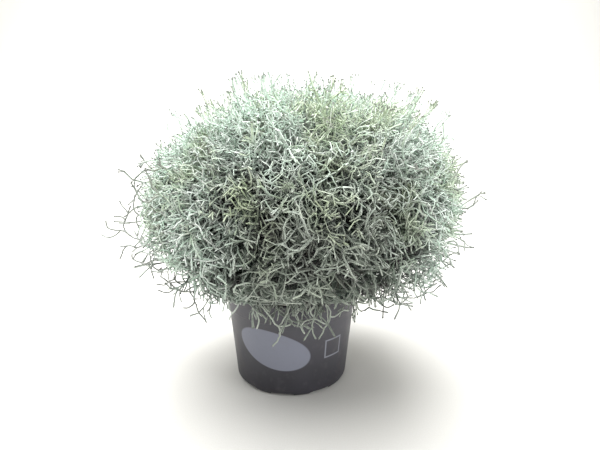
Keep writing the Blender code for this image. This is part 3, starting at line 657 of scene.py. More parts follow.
def inside(points, owner, slack, hubs):
    """True where a point lies in the dome, above the skirt, off the pot, in the box and in its own spray."""
    beyond = beyond_dome(points)
    fits = (beyond < slack) & (beyond > -SHELL_DEPTH)
    fits &= (points[:, 2] > skirt_height(points)) | in_apron(points)
    fits &= (from_axis(points) > CLEAR_RADIUS) | (points[:, 2] > CLEAR_HEIGHT)
    fits &= ((points > BOX_LOW + BOX_MARGIN) & (points < BOX_HIGH - BOX_MARGIN)).all(axis=1)
    nearest = np.linalg.norm(points[:, None, :] - hubs[None], axis=2).argmin(axis=1)
    return fits & (nearest == owner)


def fork(bush, tips, ways, spread_deg, rng, pull=0.0):
    """New stretches from each tip: headings on a cone round the tip's own, bent outwards.

    A stretch's heading is cos(cone) * axis + sin(cone) * (cos(turn) * side + sin(turn) * third), plus a
    share of the direction away from the middle of the dome. Its length falls towards the outline. In the
    loose lower part the leading stretch bends on in the plane of the last bend, which makes arcs, and
    near the hem it turns up.
    """
    ways = np.broadcast_to(ways, len(tips))
    parent = np.repeat(tips, ways)
    count = len(parent)
    number = np.arange(count) - np.repeat(np.cumsum(ways) - ways, ways)
    turn = 2 * np.pi * number / np.repeat(ways, ways) + rng.normal(0, TURN_SCATTER, count)
    cone = np.radians(rng.uniform(*spread_deg, count))
    start, axis, side = bush["place"][parent], bush["heading"][parent], bush["side"][parent]
    lowness, hem = lowness_of(start), side_hem(start)
    leading = (number == 0) & (rng.uniform(size=count) < LEADING)
    cone = np.where(leading, LEADING_SHARE * cone, cone)
    curling = (number == 0) & (rng.uniform(size=count) < lowness)
    cone = np.where(curling, np.radians(rng.uniform(*CURL_DEG, count)), cone)
    turn = np.where(curling, 0.0, turn)
    around = np.cos(turn)[:, None] * side + np.sin(turn)[:, None] * np.cross(axis, side)
    heading = np.cos(cone)[:, None] * axis + np.sin(cone)[:, None] * around
    lift = (UPTURN * hem - DROOP * lowness)[:, None] * UP
    depth = ramp(-beyond_dome(start), STRETCH_DEEP)
    outward = OUTWARD + TIP_OUTWARD * (1 - depth) * (1 - lowness)
    heading = unit(heading + outward[:, None] * unit(start - DOME_CENTRE) + lift + pull)
    length = along(STRETCH, depth) + STRETCH_LOOSE * lowness + STRETCH_HEM * hem
    length *= rng.uniform(*STRETCH_SPREAD, count)
    next_side = unit(np.cross(heading, side) + SIDE_SCATTER * rng.normal(size=side.shape))
    next_side = unit(squared(np.where(curling[:, None], side, next_side), heading))
    return parent, start + length[:, None] * heading, heading, next_side


def grow(bush, hubs, rng):
    """Fork the live tips round after round, each new end taking a free cell of its own."""
    taken = blocked_cells(rng)
    count = len(bush["place"])
    given = np.flatnonzero(bush["given"] & ~bush["stem"])
    taken[cell_of(bush["place"][given])] = True
    hub_rows = np.arange(count - len(hubs), count)
    live = np.concatenate([hub_rows, given])
    slack = rng.normal(*OUTLINE_SCATTER, count)
    for turn in range(ROUNDS):
        ways = 2 + (rng.uniform(size=len(live)) < THREE_WAY)
        ways = np.where(np.isin(live, hub_rows), HUB_WAYS, ways)
        batches = [fork(bush, live, ways, FORK_DEG if turn else INFILL_DEG, rng)]
        if turn >= INFILL_FROM:
            fine = ~bush["stem"]
            chosen = np.flatnonzero((rng.uniform(size=len(fine)) < INFILL_SHARE) & fine)
            batches.append(fork(bush, chosen, 1, INFILL_DEG, rng))
            low = near_rim(bush["place"], RIM_SOURCE) & (bush["place"][:, 1] < LIP_RADIUS / 2) & fine
            low = np.flatnonzero(low & (rng.uniform(size=len(low)) < RIM_SHARE))
            batches.append(fork(bush, low, 1, INFILL_DEG, rng, RIM_PULL))
        order = rng.permutation(sum(len(batch[0]) for batch in batches))
        parent, place, heading, side = [np.concatenate(rows)[order] for rows in zip(*batches)]
        reach = slack[parent] + rng.normal(0, REACH_SCATTER, len(parent))
        runner = beyond_dome(bush["place"][parent]) + RUNNER_SPROUT
        reach = np.where(bush["given"][parent], np.maximum(reach, runner), reach)
        far = rng.uniform(size=len(parent)) < STRAGGLERS
        farthest = np.where(place[:, 2] > LOOSE_FROM, *STRAGGLER_REACH)
        reach = np.where(far, np.maximum(reach, farthest), reach)
        cells = cell_of(place)
        fits = np.flatnonzero(inside(place, bush["owner"][parent], reach, hubs) & ~taken[cells])
        kept = fits[np.unique(cells[fits], return_index=True)[1]]
        taken[cells[kept]] = True
        parent = parent[kept]
        owner, kind = bush["owner"][parent], bush["tree"][parent]
        live = add_nodes(bush, owner, kind, parent, place[kept], heading[kept], side[kept])
        slack = np.concatenate([slack, rng.normal(*OUTLINE_SCATTER, len(kept))])


def raise_sprigs(bush, rng):
    """Runs of nearly straight stretches, some of them forked, from the outline of the upper dome.

    Each heading is bent upwards, and less so outwards.
    """
    edge = (beyond_dome(bush["place"]) > -SPRIG_SOURCE) & (bush["place"][:, 2] > SPRIG_FROM)
    tips = rng.choice(np.flatnonzero(edge & ~bush["given"]), SPRIG_COUNT, replace=False)
    for _ in range(SPRIG_STEPS):
        ways = 1 + (rng.uniform(size=len(tips)) < SPRIG_FORKS)
        raised = SPRIG_OUTWARD * unit(bush["place"][tips] - DOME_CENTRE) + UP
        rows = fork(bush, tips, ways, SPRIG_DEG, rng, SPRIG_PULL * np.repeat(raised, ways, axis=0))
        kept = ((rows[1] > BOX_LOW + BOX_MARGIN) & (rows[1] < BOX_HIGH - 2 * BOX_MARGIN)).all(axis=1)
        rows = [column[kept] for column in rows]
        tips = add_nodes(bush, bush["owner"][rows[0]], SPRIG, *rows)


def join_leaders(bush):
    """Give each leader's first node the nearest twig of the spray's own growth as its parent."""
    grown = (bush["tree"] == GROWN) & ~bush["stem"]
    for node in np.flatnonzero((bush["parent"] < 0) & (bush["tree"] == LEADER)):
        mine = np.flatnonzero(grown & (bush["owner"] == bush["owner"][node]))
        bush["parent"][node] = nearest_of(bush["place"][node], bush["place"], mine)


def hang_twigs(bush, hubs, rng):
    """Add the loose twigs outside the dome: each path's points in turn, from its nearest neighbour."""
    first = len(bush["place"])
    for path in LOOSE_TWIGS:
        points = np.array(path) * MM
        joined = (np.linalg.norm(bush["place"][first:] - points[0], axis=1) < MM).any()
        owner = np.linalg.norm(hubs - points[0], axis=1).argmin()
        count = len(bush["place"])
        near = np.arange(first, count) if joined else np.flatnonzero(bush["owner"] == owner)
        start = nearest_of(points[0], bush["place"], near)
        points = points[int(joined):]
        parent = np.append(start, np.arange(count, count + len(points) - 1))
        heading = unit(np.diff(points, axis=0, prepend=bush["place"][[start]]))
        add_nodes(bush, bush["owner"][start], LOOSE, parent, points, heading, any_side(heading, rng), True)


def finish_rows(bush, rng):
    """Radius, tangent, ring frame, tone and bud of every node.

    The load is the number of tips that a node carries, and the radius is the tip's times the load to a
    small power. The ring frame is carried from parent to child, made square to the child's tangent.
    """
    parent, place, tree, given = [bush[key] for key in ("parent", "place", "tree", "given")]
    count = len(parent)
    rooted = parent >= 0
    up = np.maximum(parent, 0)
    steps = np.zeros(count, int)
    for _ in range(MOST_STRETCHES):
        steps = np.where(rooted, steps[up] + 1, 0)
    by_step = [np.flatnonzero(steps == step) for step in range(steps.max() + 1)]
    children = np.bincount(parent[rooted], minlength=count)
    load = (children == 0).astype(float)
    for rows in by_step[:0:-1]:
        np.add.at(load, parent[rows], load[rows])
    lowness, beyond = lowness_of(place), beyond_dome(place)
    radius = np.minimum(along(TIP_RADIUS, lowness) * load**LOAD_POWER, THICKEST)
    least = np.where((beyond > 0) | (tree == LOOSE), LOOSE_RADIUS, LEADER_RADIUS)
    least = least * np.where(children > 0, 1, LOOSE_TIP)
    radius = np.where(given, np.maximum(radius, least), radius)
    radius = np.where(tree == SPRIG, SPRIG_THIN * radius, radius)
    stem_radius = along(STEM_RADIUS, ramp(place[:, 2] - POT_HEIGHT, STEM_TAPER))
    radius = np.where(bush["stem"], stem_radius, radius)
    chord = np.where(rooted[:, None], unit(place - place[up]), bush["heading"])
    rows = np.flatnonzero(rooted)[np.argsort(load[rooted], kind="stable")]
    main = np.full(count, -1)
    main[parent[rows]] = rows
    tangent = unit(chord + np.where((main >= 0)[:, None], chord[main], chord))
    is_main = main[up] == np.arange(count)
    frame_side = any_side(tangent, rng)
    tone = rng.normal(size=count)
    for rows in by_step[1:]:
        square = squared(frame_side[parent[rows]], tangent[rows])
        good = np.linalg.norm(square, axis=1) > LEAST_SIDE
        frame_side[rows[good]] = unit(square[good])
        kept = rows[is_main[rows]]
        tone[kept] = TONE_CARRIED * tone[parent[kept]] + TONE_OWN * tone[kept]
    tone = np.where(given & (tree == LEADER), np.minimum(tone, LEADER_TONE), tone)
    tone = np.where(tree == LOOSE, LOOSE_TONE, tone)
    budding = rng.uniform(size=count) < np.where(beyond > BUD_OUTSIDE, *BUD_SHARE)
    bud = np.where(budding, rng.uniform(*BUD_RADIUS, count), 0.0)
    bent = (rng.uniform(size=count) < lowness) | given | bush["stem"]
    bush.update(
        bow=rng.normal(0, BOW, count), bent=bent, bud=bud, radius=radius, chord=chord, tangent=tangent,
        main=is_main & rooted, frame_side=frame_side, tone=tone, children=children,
    )


def ring(centres, tangents, sides, radii):
    """Three points round each centre: centre + radius * (cos(turn) * side + sin(turn) * third)."""
    square = unit(squared(sides, tangents))
    turn = TRIANGLE_TURNS[None, :, None]
    around = np.cos(turn) * square[:, None] + np.sin(turn) * np.cross(tangents, square)[:, None]
    return centres[:, None] + radii[:, None, None] * around


def tube_faces(lower, upper):
    """Six triangles between two rings of three, for rows of ring corner numbers."""
    first = np.stack([lower, lower[:, NEXT_CORNER], upper[:, NEXT_CORNER]], axis=2)
    second = np.stack([lower, upper[:, NEXT_CORNER], upper], axis=2)
    return np.concatenate([first, second]).reshape(-1, 3)


def spray_mesh(bush, number):
    """One spray as closed three-sided tubes: a ring at each node and one halfway along each bent stretch.

    The halfway ring sits at the mean of the two ends plus an eighth of the length times the
    difference of their tangents, which makes the stretch an arc, and a little to one side by chance.
    A side twig starts with a ring of its own inside its parent, and some tips end in a bud.
    """
    rows = np.flatnonzero(bush["owner"] == number)
    renumber = np.full(len(bush["place"]), -1)
    renumber[rows] = np.arange(len(rows))
    pick = {key: values[rows] for key, values in bush.items()}
    place, tangent, side, chord = [pick[key] for key in ("place", "tangent", "frame_side", "chord")]
    radius, children = pick["radius"], pick["children"]
    parent = np.where(pick["parent"] >= 0, renumber[pick["parent"]], -1)
    linked, foot = np.flatnonzero(parent >= 0), np.flatnonzero(parent < 0)
    up, branch, bent = parent[linked], ~pick["main"][linked], pick["bent"][linked]
    arcs, own = linked[bent], linked[branch]
    tip = np.flatnonzero((children == 0) & (parent >= 0))
    budded = pick["bud"][tip] > 0
    budding = tip[budded]
    swollen = np.where(children > 1, KNOT_SWELL, 1.0) * radius
    swollen[tip] = TIP_SWELL * radius[tip]
    leaving = unit(BRANCH_LEAVING[0] * chord[linked] + BRANCH_LEAVING[1] * tangent[up])
    start_tangent = np.where(branch[:, None], leaving, tangent[up])
    start_radius = np.where(branch, BRANCH_SWELL * radius[linked], radius[up])
    length = np.linalg.norm(place[linked] - place[up], axis=1, keepdims=True)
    middle = (place[linked] + place[up]) / 2 + length / 8 * (start_tangent - tangent[linked])
    middle += pick["bow"][linked][:, None] * length * side[linked]
    middle_radius = (start_radius + radius[linked]) / 2
    sunk = place[up[branch]] - BRANCH_SINK * chord[own]
    swelling = place[budding] + BUD_MIDDLE * BUD_LENGTH * chord[budding]
    rings = (
        ring(place, tangent, side, swollen),
        ring(middle[bent], chord[arcs], side[arcs], middle_radius[bent]),
        ring(sunk, chord[own], side[own], start_radius[branch]),
        ring(swelling, chord[budding], side[budding], pick["bud"][budding]),
    )
    apex = place[tip] + np.where(budded, BUD_LENGTH, TIP_LENGTH)[:, None] * chord[tip]

    starts = np.cumsum([0] + [3 * len(part) for part in rings])
    node_ids, middle_ids, base_ids, bud_ids = [
        start + np.arange(3 * len(part)).reshape(-1, 3) for start, part in zip(starts, rings)
    ]
    apex_ids = np.repeat(starts[-1] + np.arange(len(tip))[:, None], 3, axis=1)
    end_ids, lower = node_ids[tip], node_ids[up]
    end_ids[budded] = bud_ids
    lower[branch] = base_ids
    faces = np.concatenate([
        tube_faces(lower[bent], middle_ids),
        tube_faces(middle_ids, node_ids[arcs]),
        tube_faces(lower[~bent], node_ids[linked[~bent]]),
        tube_faces(node_ids[budding], bud_ids),
        np.concatenate([base_ids, node_ids[foot]])[:, [0, 2, 1]],
        np.stack([end_ids, end_ids[:, NEXT_CORNER], apex_ids], axis=2).reshape(-1, 3),
    ])
    points = np.concatenate([part.reshape(-1, 3) for part in (*rings, apex)])
    points = np.clip(points, BOX_LOW + BOX_SKIN, BOX_HIGH - BOX_SKIN)
    ringed = np.concatenate([np.arange(len(rows)), arcs, own, budding])
    source = np.concatenate([np.repeat(ringed, 3), tip])
    values = shading(points)
    values["tone"] = pick["tone"][source]
    values["wood"] = ramp(radius[source] / MM - WOOD_RADIUS_MM, WOOD_OVER_MM)
    values["bud"] = np.concatenate([np.zeros(starts[3]), np.ones(3 * len(budding)), budded])
    return points, faces, values


def shading(points):
    """How deep in the dome's shade each point lies, less so over the rim, and how much painted shade greys a
    twig hung outside and below the dome.
    """
    beyond, height, radius = beyond_dome(points), points[:, 2], from_axis(points)
    over_rim = (radius > LIP_RADIUS) & (-points[:, 1] > APRON_FRONTNESS * radius)
    shaded = np.where(over_rim, ramp(height - POT_HEIGHT, RIM_LAYER), 1)
    depth = shaded * ramp(-beyond, SHADE_DEPTH[0] + SHADE_DEPTH[1] * ramp(height - OPEN_FROM, OPEN_OVER))
    # Painted shade on twigs that hang outside and below the dome, in its shadow
    outside = ramp(SHADE_BELOW_FROM - height, SHADE_BELOW_OVER) * beyond / SHADE_BELOW_OUT
    below = (skirt_height(points) - height) / SHADE_BELOW_SKIRT
    shade_below_dome = np.maximum(outside, below) * (np.abs(points[:, 0]) > LIP_RADIUS)
    return {"depth": depth, "shade_below_dome": np.clip(np.maximum(shade_below_dome, SHADE_BELOW_HEM * side_hem(points)), 0, 1)}


def mesh_object(name, points, *blocks, **values):
    """A smooth mesh object at the origin from blocks of faces, with a float attribute for each value."""
    corners = np.concatenate([faces.ravel() for faces in blocks]).astype(np.int32)
    totals = np.concatenate([np.full(len(faces), faces.shape[1], np.int32) for faces in blocks])
    mesh = bpy.data.meshes.new(name)
    mesh.vertices.add(len(points))
    mesh.vertices.foreach_set("co", points.astype(np.float32).ravel())
    mesh.loops.add(len(corners))
    mesh.loops.foreach_set("vertex_index", corners)
    mesh.polygons.add(len(totals))
    mesh.polygons.foreach_set("loop_start", np.cumsum(totals, dtype=np.int32) - totals)
    mesh.polygons.foreach_set("loop_total", totals)
    mesh.update(calc_edges=True)
    mesh.validate()
    mesh.shade_smooth()
    for key, column in values.items():
        mesh.attributes.new(key, "FLOAT", "POINT").data.foreach_set("value", column.astype(np.float32))
    item = bpy.data.objects.new(name, mesh)
    bpy.context.scene.collection.objects.link(item)
    return item


def show(item, slot, material, *nodes):
    """Dress a piece, ride it on the one body and let it stand for its CAD nodes."""
    item.data.materials.append(material)
    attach(item, "root")
    if nodes:
        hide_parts(*nodes)


def colour(code):
    """An sRGB hex colour as linear red, green, blue and alpha."""
    values = [int(code[k:k + 2], 16) / 255 for k in (1, 3, 5)]
    linear = [v / 12.92 if v <= 0.04045 else ((v + 0.055) / 1.055) ** 2.4 for v in values]
    return (*linear, 1.0)


def add(tree, kind, inputs, out=0, **settings):
    """Add one shader node with its settings and with inputs that are values or sockets; give one output."""
    node = tree.nodes.new("ShaderNode" + kind)
    for key, value in settings.items():
        setattr(node, key, value)
    for key, value in inputs.items():
        if isinstance(value, bpy.types.NodeSocket):
            tree.links.new(value, node.inputs[key])
        else:
            node.inputs[key].default_value = value
    return node.outputs[out]


def lay_colours(tree, layers):
    """Work out colours in turn, each going from one colour to another as a value goes from low to high.

    A layer holds its name, the value, low, high, the most of the second colour that shows, and the two
    colours, each a hex code or the name of an earlier layer.
    """
    made = {}
    for name, value, low, high, most, *ends in layers:
        share = add(tree, "MapRange", {0: value, 1: low, 2: high, 4: most})
        below, above = [made[end] if end in made else colour(end) for end in ends]
        made[name] = add(tree, "Mix", {0: share, 6: below, 7: above}, 2, data_type="RGBA")
    return made[name]


def material_of(finish, *patterns):
    """A material named for its finish, a function that gives the inputs of its shader.

    Each pattern is a soft random one, given by its size in millimetres and its count of finer octaves.
    """
    material = bpy.data.materials.new(finish.__name__)
    material.use_nodes = True
    tree = material.node_tree
    tree.nodes.clear()
    place = add(tree, "TexCoord", {}, "Object")
    made = [
        add(tree, "TexNoise", {"Vector": place, "Scale": 1 / (size * MM), "Detail": octaves}, "Fac")
        for size, octaves in patterns
    ]
    shader = add(tree, "BsdfPrincipled", finish(tree, place, *made))
    tree.links.new(shader, tree.nodes.new("ShaderNodeOutputMaterial").inputs["Surface"])
    return material


def felted_silver_twig(tree, place, patches, hollows, tufts):
    """Felted twig: a dead-matte silver wool over green bark, browner on old wood. Painted shade darkens the
    twigs deep inside the dome and greys those hung below it; painted light makes its top and sides paler.
    """
    names = ("tone", "depth", "wood", "bud", "shade_below_dome")
    tone, depth, wood, bud, shade_below_dome = [add(tree, "Attribute", {}, "Fac", attribute_name=name) for name in names]
    x, height = [add(tree, "SeparateXYZ", {0: place}, axis) for axis in (0, 2)]
    # Mint-green wool, with painted light: paler at the top and to both sides of the dome's middle, where more
    # light falls
    across = add(tree, "Math", {0: x, 1: MINT_LIGHT_MIDDLE}, operation="SUBTRACT")
    sideways = add(tree, "Math", {0: across}, operation="ABSOLUTE")
    top, sides, green, low_green, speckle = [
        add(tree, "MapRange", dict(enumerate(values))) for values in (
            (height, 0.18, 0.255),
            (sideways, 0.042, 0.100, 0.0, 0.95),
            (patches, 0.47, 0.62),
            (height, 0.12, 0.20),
            (tufts, 0.3, 0.7, 0.82, 1.06),
        )
    ]
    mint_and_light = add(tree, "Math", {0: top, 1: sides}, operation="MAXIMUM")
    green = add(tree, "Math", {0: green, 1: low_green}, operation="MULTIPLY")
    body = lay_colours(tree, (
        ("grey wool", tone, -1.2, 1.2, 1.0, "#80897e", "#b0b8ac"),
        ("mint wool", tone, -1.2, 1.2, 1.0, "#cfe8d6", "#f6fdf8"),
        # Painted light: pale mint wool where light falls on the top and sides, grey wool in the shaded front
        # middle
        ("wool", mint_and_light, 0.0, 1.0, 1.0, "grey wool", "mint wool"),
        ("wool", green, 0.0, 1.0, 0.6, "wool", "#a7b585"),
        # Painted shade: grey on twigs that hang outside and below the dome, in its shadow
        ("wool", shade_below_dome, 0.1, 0.9, 0.8, "wool", "#8a8d87"),
        # Painted shade: the dark colours of twigs deep inside the dome, with patches of purplish brown twigs
        ("inner", tone, -1.0, 1.0, 1.0, "#38463f", "#667567"),
        ("inner", hollows, 0.5, 0.62, 0.8, "inner", "#50474b"),
        ("bark", tufts, 0.35, 0.65, 1.0, "#5d5548", "#8e8676"),
        # Painted shade: from the wool to the dark inner colours as the depth in the dome grows
        ("twig", depth, 0.08, 0.58, 1.0, "wool", "inner"),
        ("twig", wood, 0.1, 0.9, 0.8, "twig", "bark"),
        ("twig", bud, 0.2, 1.0, 0.85, "twig", "#62645e"),
    ))
    grey = add(tree, "CombineColor", {0: speckle, 1: speckle, 2: speckle})
    body = add(tree, "Mix", {0: 1.0, 6: body, 7: grey}, 2, data_type="RGBA", blend_type="MULTIPLY")
    bump = add(tree, "Bump", {"Strength": 0.35, "Distance": 0.2 * MM, "Height": tufts})
    return {
        "Base Color": body, "Roughness": 0.88, "Specular IOR Level": 0.25, "Sheen Weight": 0.25,
        "Sheen Roughness": 0.5, "Normal": bump,
    }


def moulded_polypropylene(tree, place, clouds, grain, marks):
    """Injection-moulded trade pot: satin to matte, with a plain pale screen-printed oval and square outline.

    The wall is unrolled to the azimuth from the front times a radius, and the height. The oval is where
    the squares of both distances from its middle, over its half sizes, add up to less than one. The
    outline is a line just inside the square's edge, found from the greater of both distances past it.
    """
    x, y, height = [add(tree, "SeparateXYZ", {0: place}, axis) for axis in range(3)]
    front = add(tree, "Math", {0: y, 1: -1.0}, operation="MULTIPLY")
    azimuth = add(tree, "Math", {0: x, 1: front}, operation="ARCTAN2")
    around = add(tree, "Math", {0: azimuth, 1: UNROLL_RADIUS}, operation="MULTIPLY")
    wall = add(tree, "CombineXYZ", {0: around, 1: height})
    oval = {"Vector": wall, "Location": OVAL_PLACE, "Rotation": (0.0, 0.0, OVAL_TILT), "Scale": OVAL_HALF}
    in_oval = add(tree, "Mapping", oval, vector_type="TEXTURE")
    oval_far = add(tree, "VectorMath", {0: in_oval, 1: in_oval}, "Value", operation="DOT_PRODUCT")
    offset = add(tree, "VectorMath", {0: wall, 1: SQUARE_PLACE}, operation="SUBTRACT")
    offset = add(tree, "VectorMath", {0: offset}, operation="ABSOLUTE")
    offset = add(tree, "VectorMath", {0: offset, 1: SQUARE_HALF}, operation="SUBTRACT")
    past = {axis: add(tree, "SeparateXYZ", {0: offset}, axis) for axis in (0, 1)}
    past_edge = add(tree, "Math", past, operation="MAXIMUM")
    from_line = add(tree, "Math", {0: past_edge, 1: HALF_LINE}, operation="ADD")
    from_line = add(tree, "Math", {0: from_line}, operation="ABSOLUTE")
    body = lay_colours(tree, (
        ("plastic", clouds, 0.3, 0.7, 1.0, "#29282e", "#323138"),
        # Painted light: the wall paler towards the rim, where the light from above falls
        ("plastic", height, 0.015, 0.085, 0.40, "plastic", "#65646b"),
        ("plastic", oval_far, 1 + OVAL_SOFT, 1 - OVAL_SOFT, 1.0, "plastic", "#787b88"),
        ("plastic", from_line, HALF_LINE + SQUARE_SOFT, HALF_LINE - SQUARE_SOFT, 1.0, "plastic", "#7d7f88"),
        ("plastic", marks, 0.55, 0.8, 0.18, "plastic", "#6a6768"),
    ))
    rough = add(tree, "MapRange", {0: clouds, 1: 0.3, 2: 0.7, 3: 0.42, 4: 0.56})
    bump = add(tree, "Bump", {"Strength": 0.22, "Distance": 0.12 * MM, "Height": grain})
    return {"Base Color": body, "Roughness": rough, "IOR": 1.49, "Normal": bump}


def moist_peat(tree, place, crumbs, fibres):
    """Potting mix: moist peat, nearly black, with paler bark fibres."""
    peat = lay_colours(tree, (
        ("peat", crumbs, 0.35, 0.7, 1.0, "#1d1511", "#4a372a"),
        ("peat", fibres, 0.62, 0.75, 0.6, "peat", "#7b634b"),
    ))
    bump = add(tree, "Bump", {"Strength": 0.8, "Distance": 0.6 * MM, "Height": crumbs})
    return {"Base Color": peat, "Roughness": 0.95, "Normal": bump}


def white_paper(tree, place, mottle):
    """Uncoated white paper: dead matte, with a faint mottle."""
    paper = lay_colours(tree, (("paper", mottle, 0.3, 0.7, 1.0, "#cac9c4", "#cecdca"),))
    return {"Base Color": paper, "Roughness": 0.9, "Specular IOR Level": 0.1}


def arc(centre, radius, start_deg, end_deg, count):
    """Points on a circle's arc in the half plane of radius and height."""
    angle = np.radians(np.linspace(start_deg, end_deg, count))
    return np.stack([centre[0] + radius * np.cos(angle), centre[1] + radius * np.sin(angle)], axis=1)


def between(start, end, count):
    """Even points from one place to another, without the last."""
    share = np.linspace(0, 1, count, endpoint=False)[:, None]
    return np.array(start) * (1 - share) + np.array(end) * share


def pot_section():
    """Half section of the pot from the middle of its underside, out, up, over the lip and down inside."""
    band_foot = POT_HEIGHT - BAND_HEIGHT
    inner_base, inner_band = BASE_RADIUS - POT_WALL, BAND_RADIUS - POT_WALL
    foot_edge = (FOOT_INNER_RADIUS - FOOT_DRAFT, FOOT_HEIGHT)
    band_head = (BAND_RADIUS, POT_HEIGHT - LIP_DEPTH - LIP_ROUND)
    lip_foot = (LIP_RADIUS - LIP_UNDER_ROUND, POT_HEIGHT - LIP_DEPTH + LIP_UNDER_ROUND)
    corner = arc((BASE_RADIUS - CORNER_RADIUS, CORNER_RADIUS), CORNER_RADIUS, -90, 0, 7)
    wall_head = (WALL_TOP_RADIUS, band_foot - BAND_STEP)
    round_foot = arc((BAND_RADIUS - BAND_LEAN - BAND_ROUND, band_foot + EDGE), BAND_ROUND, -60, 0, 4)
    inner_foot = (inner_base, FLOOR_TOP + FLOOR_CHAMFER)
    return np.vstack([
        between((PAD_MIDDLE, 0), (PAD_RADIUS - EDGE, 0), 3),
        [(PAD_RADIUS, EDGE)],
        between((PAD_RADIUS + FOOT_DRAFT, FOOT_HEIGHT), foot_edge, 8),
        [foot_edge],
        [(FOOT_INNER_RADIUS - FOOT_LEAN, EDGE)],
        between((FOOT_INNER_RADIUS + EDGE, 0), corner[0], 3),
        corner,
        between(corner[-1], wall_head, 16)[1:],
        [wall_head],
        round_foot,
        between(round_foot[-1], band_head, 5)[1:],
        [band_head],
        arc(lip_foot, LIP_UNDER_ROUND, -90, 0, 4),
        arc((LIP_RADIUS - LIP_ROUND, POT_HEIGHT - LIP_ROUND), LIP_ROUND, 0, 90, 5),
        arc((inner_band + LIP_ROUND, POT_HEIGHT - LIP_ROUND), LIP_ROUND, 90, 180, 5),
        between((inner_band, POT_HEIGHT - 2 * LIP_ROUND), (inner_band - BAND_LEAN, band_foot), 4),
        between((WALL_TOP_RADIUS - POT_WALL, band_foot - BAND_STEP), inner_foot, 12),
        [inner_foot],
        [(inner_base - FLOOR_CHAMFER, FLOOR_TOP)],
        between((inner_base - 2 * FLOOR_CHAMFER, FLOOR_TOP), (FLOOR_MIDDLE, FLOOR_TOP), 6),
    ])


def slot_columns():
    """Azimuths round the pot, close together where each drainage arch begins and ends, and the arch there."""
    half, edge = SLOT_WIDTH / 2 / BASE_RADIUS, SLOT_EDGE / BASE_RADIUS
    pitch = 2 * np.pi / SLOT_COUNT
    offsets = np.concatenate([
        np.linspace(-half + edge, half - edge, SLOT_COLUMNS),
        np.linspace(half, pitch - half, SLOT_COLUMNS),
    ])
    arched = np.repeat([1.0, 0.0], SLOT_COLUMNS)
    arched[[0, SLOT_COLUMNS - 1]] = SLOT_SHOULDER
    turns = pitch * np.arange(SLOT_COUNT)[:, None]
    return math.radians(SLOT_FIRST_DEG) + (offsets + turns).ravel(), np.tile(arched, SLOT_COUNT)


def turned_grid(section, azimuth, heights=None, ripple=0.0):
    """A closed surface of revolution: the section's radius and height at each azimuth, poles closed."""
    radius, height = [np.repeat(section[:, axis:axis + 1], len(azimuth), axis=1) for axis in (0, 1)]
    radius = radius + ripple
    height = height if heights is None else heights
    grid = np.stack([radius * np.cos(azimuth), radius * np.sin(azimuth), height], axis=2)
    number = np.arange(radius.size).reshape(radius.shape)
    following = np.roll(number, -1, axis=1)
    quads = np.stack([number[:-1], following[:-1], following[1:], number[1:]], axis=2).reshape(-1, 4)
    points = np.vstack([grid.reshape(-1, 3), [(0, 0, section[0, 1]), (0, 0, section[-1, 1])]])
    low, high = np.full(len(azimuth), radius.size), np.full(len(azimuth), radius.size + 1)
    triangles = np.vstack([
        np.stack([following[0], number[0], low], axis=1),
        np.stack([number[-1], following[-1], high], axis=1),
    ])
    return points, quads, triangles


def make_pot():
    """The thin-walled pot: a foot ring with arches, drain holes, a faintly uneven wall and a rolled lip."""
    section = pot_section()
    radius, height = section[:, :1], section[:, 1:]
    azimuth, arched = slot_columns()
    underside = (np.arange(len(section)) < np.argmax(height > CORNER_RADIUS))[:, None]
    foot = underside & (radius > FOOT_INNER_RADIUS - EDGE) & (height < SLOT_HEIGHT)
    heights = np.where(foot, np.maximum(height, SLOT_HEIGHT * arched), height)
    on_wall = (height > WALL_FOOT) & (height < POT_HEIGHT - BAND_HEIGHT - 2 * BAND_STEP)
    wave = sum(size * np.sin(turns * azimuth + phase) for size, turns, phase in WALL_WAVES)
    ripple = np.where(on_wall, np.sin(np.pi * ramp(height, WALL_SPAN)), 0.0) * (wave - WALL_INSET)
    pot = mesh_object("trade_pot", *turned_grid(section, azimuth, heights, ripple))
    drill_holes(pot)
    pot.data.shade_smooth()
    pot.data.set_sharp_from_angle(angle=math.radians(SHARP_DEG))
    show(pot, "pot_plastic", material_of(moulded_polypropylene, *PLASTIC_PATTERNS), "pot")


def drill_holes(pot):
    """Cut the drain holes through the floor with one cutter, a ring of upright closed cylinders."""
    section = np.array([(DRAIN_RADIUS, FOOT_HEIGHT / 2), (DRAIN_RADIUS, 2 * FLOOR_TOP)])
    points, quads, triangles = turned_grid(section, np.linspace(0, 2 * np.pi, DRAIN_SIDES, endpoint=False))
    turns = 2 * np.pi * (np.arange(DRAIN_COUNT) + 0.5) / DRAIN_COUNT
    shifts = DRAIN_RING_RADIUS * np.stack([np.cos(turns), np.sin(turns), 0 * turns], axis=1)
    first = len(points) * np.arange(DRAIN_COUNT)[:, None, None]
    points = (points + shifts[:, None]).reshape(-1, 3)
    quads, triangles = (quads + first).reshape(-1, 4), (triangles + first).reshape(-1, 3)
    cutter = mesh_object("drain_cutter", points, quads, triangles)
    modifier = pot.modifiers.new("drains", "BOOLEAN")
    modifier.operation = "DIFFERENCE"
    modifier.solver = "EXACT"
    modifier.object = cutter
    evaluated = pot.evaluated_get(bpy.context.evaluated_depsgraph_get())
    drilled = bpy.data.meshes.new_from_object(evaluated)
    pot.modifiers.clear()
    pot.data = drilled
    bpy.data.objects.remove(cutter, do_unlink=True)


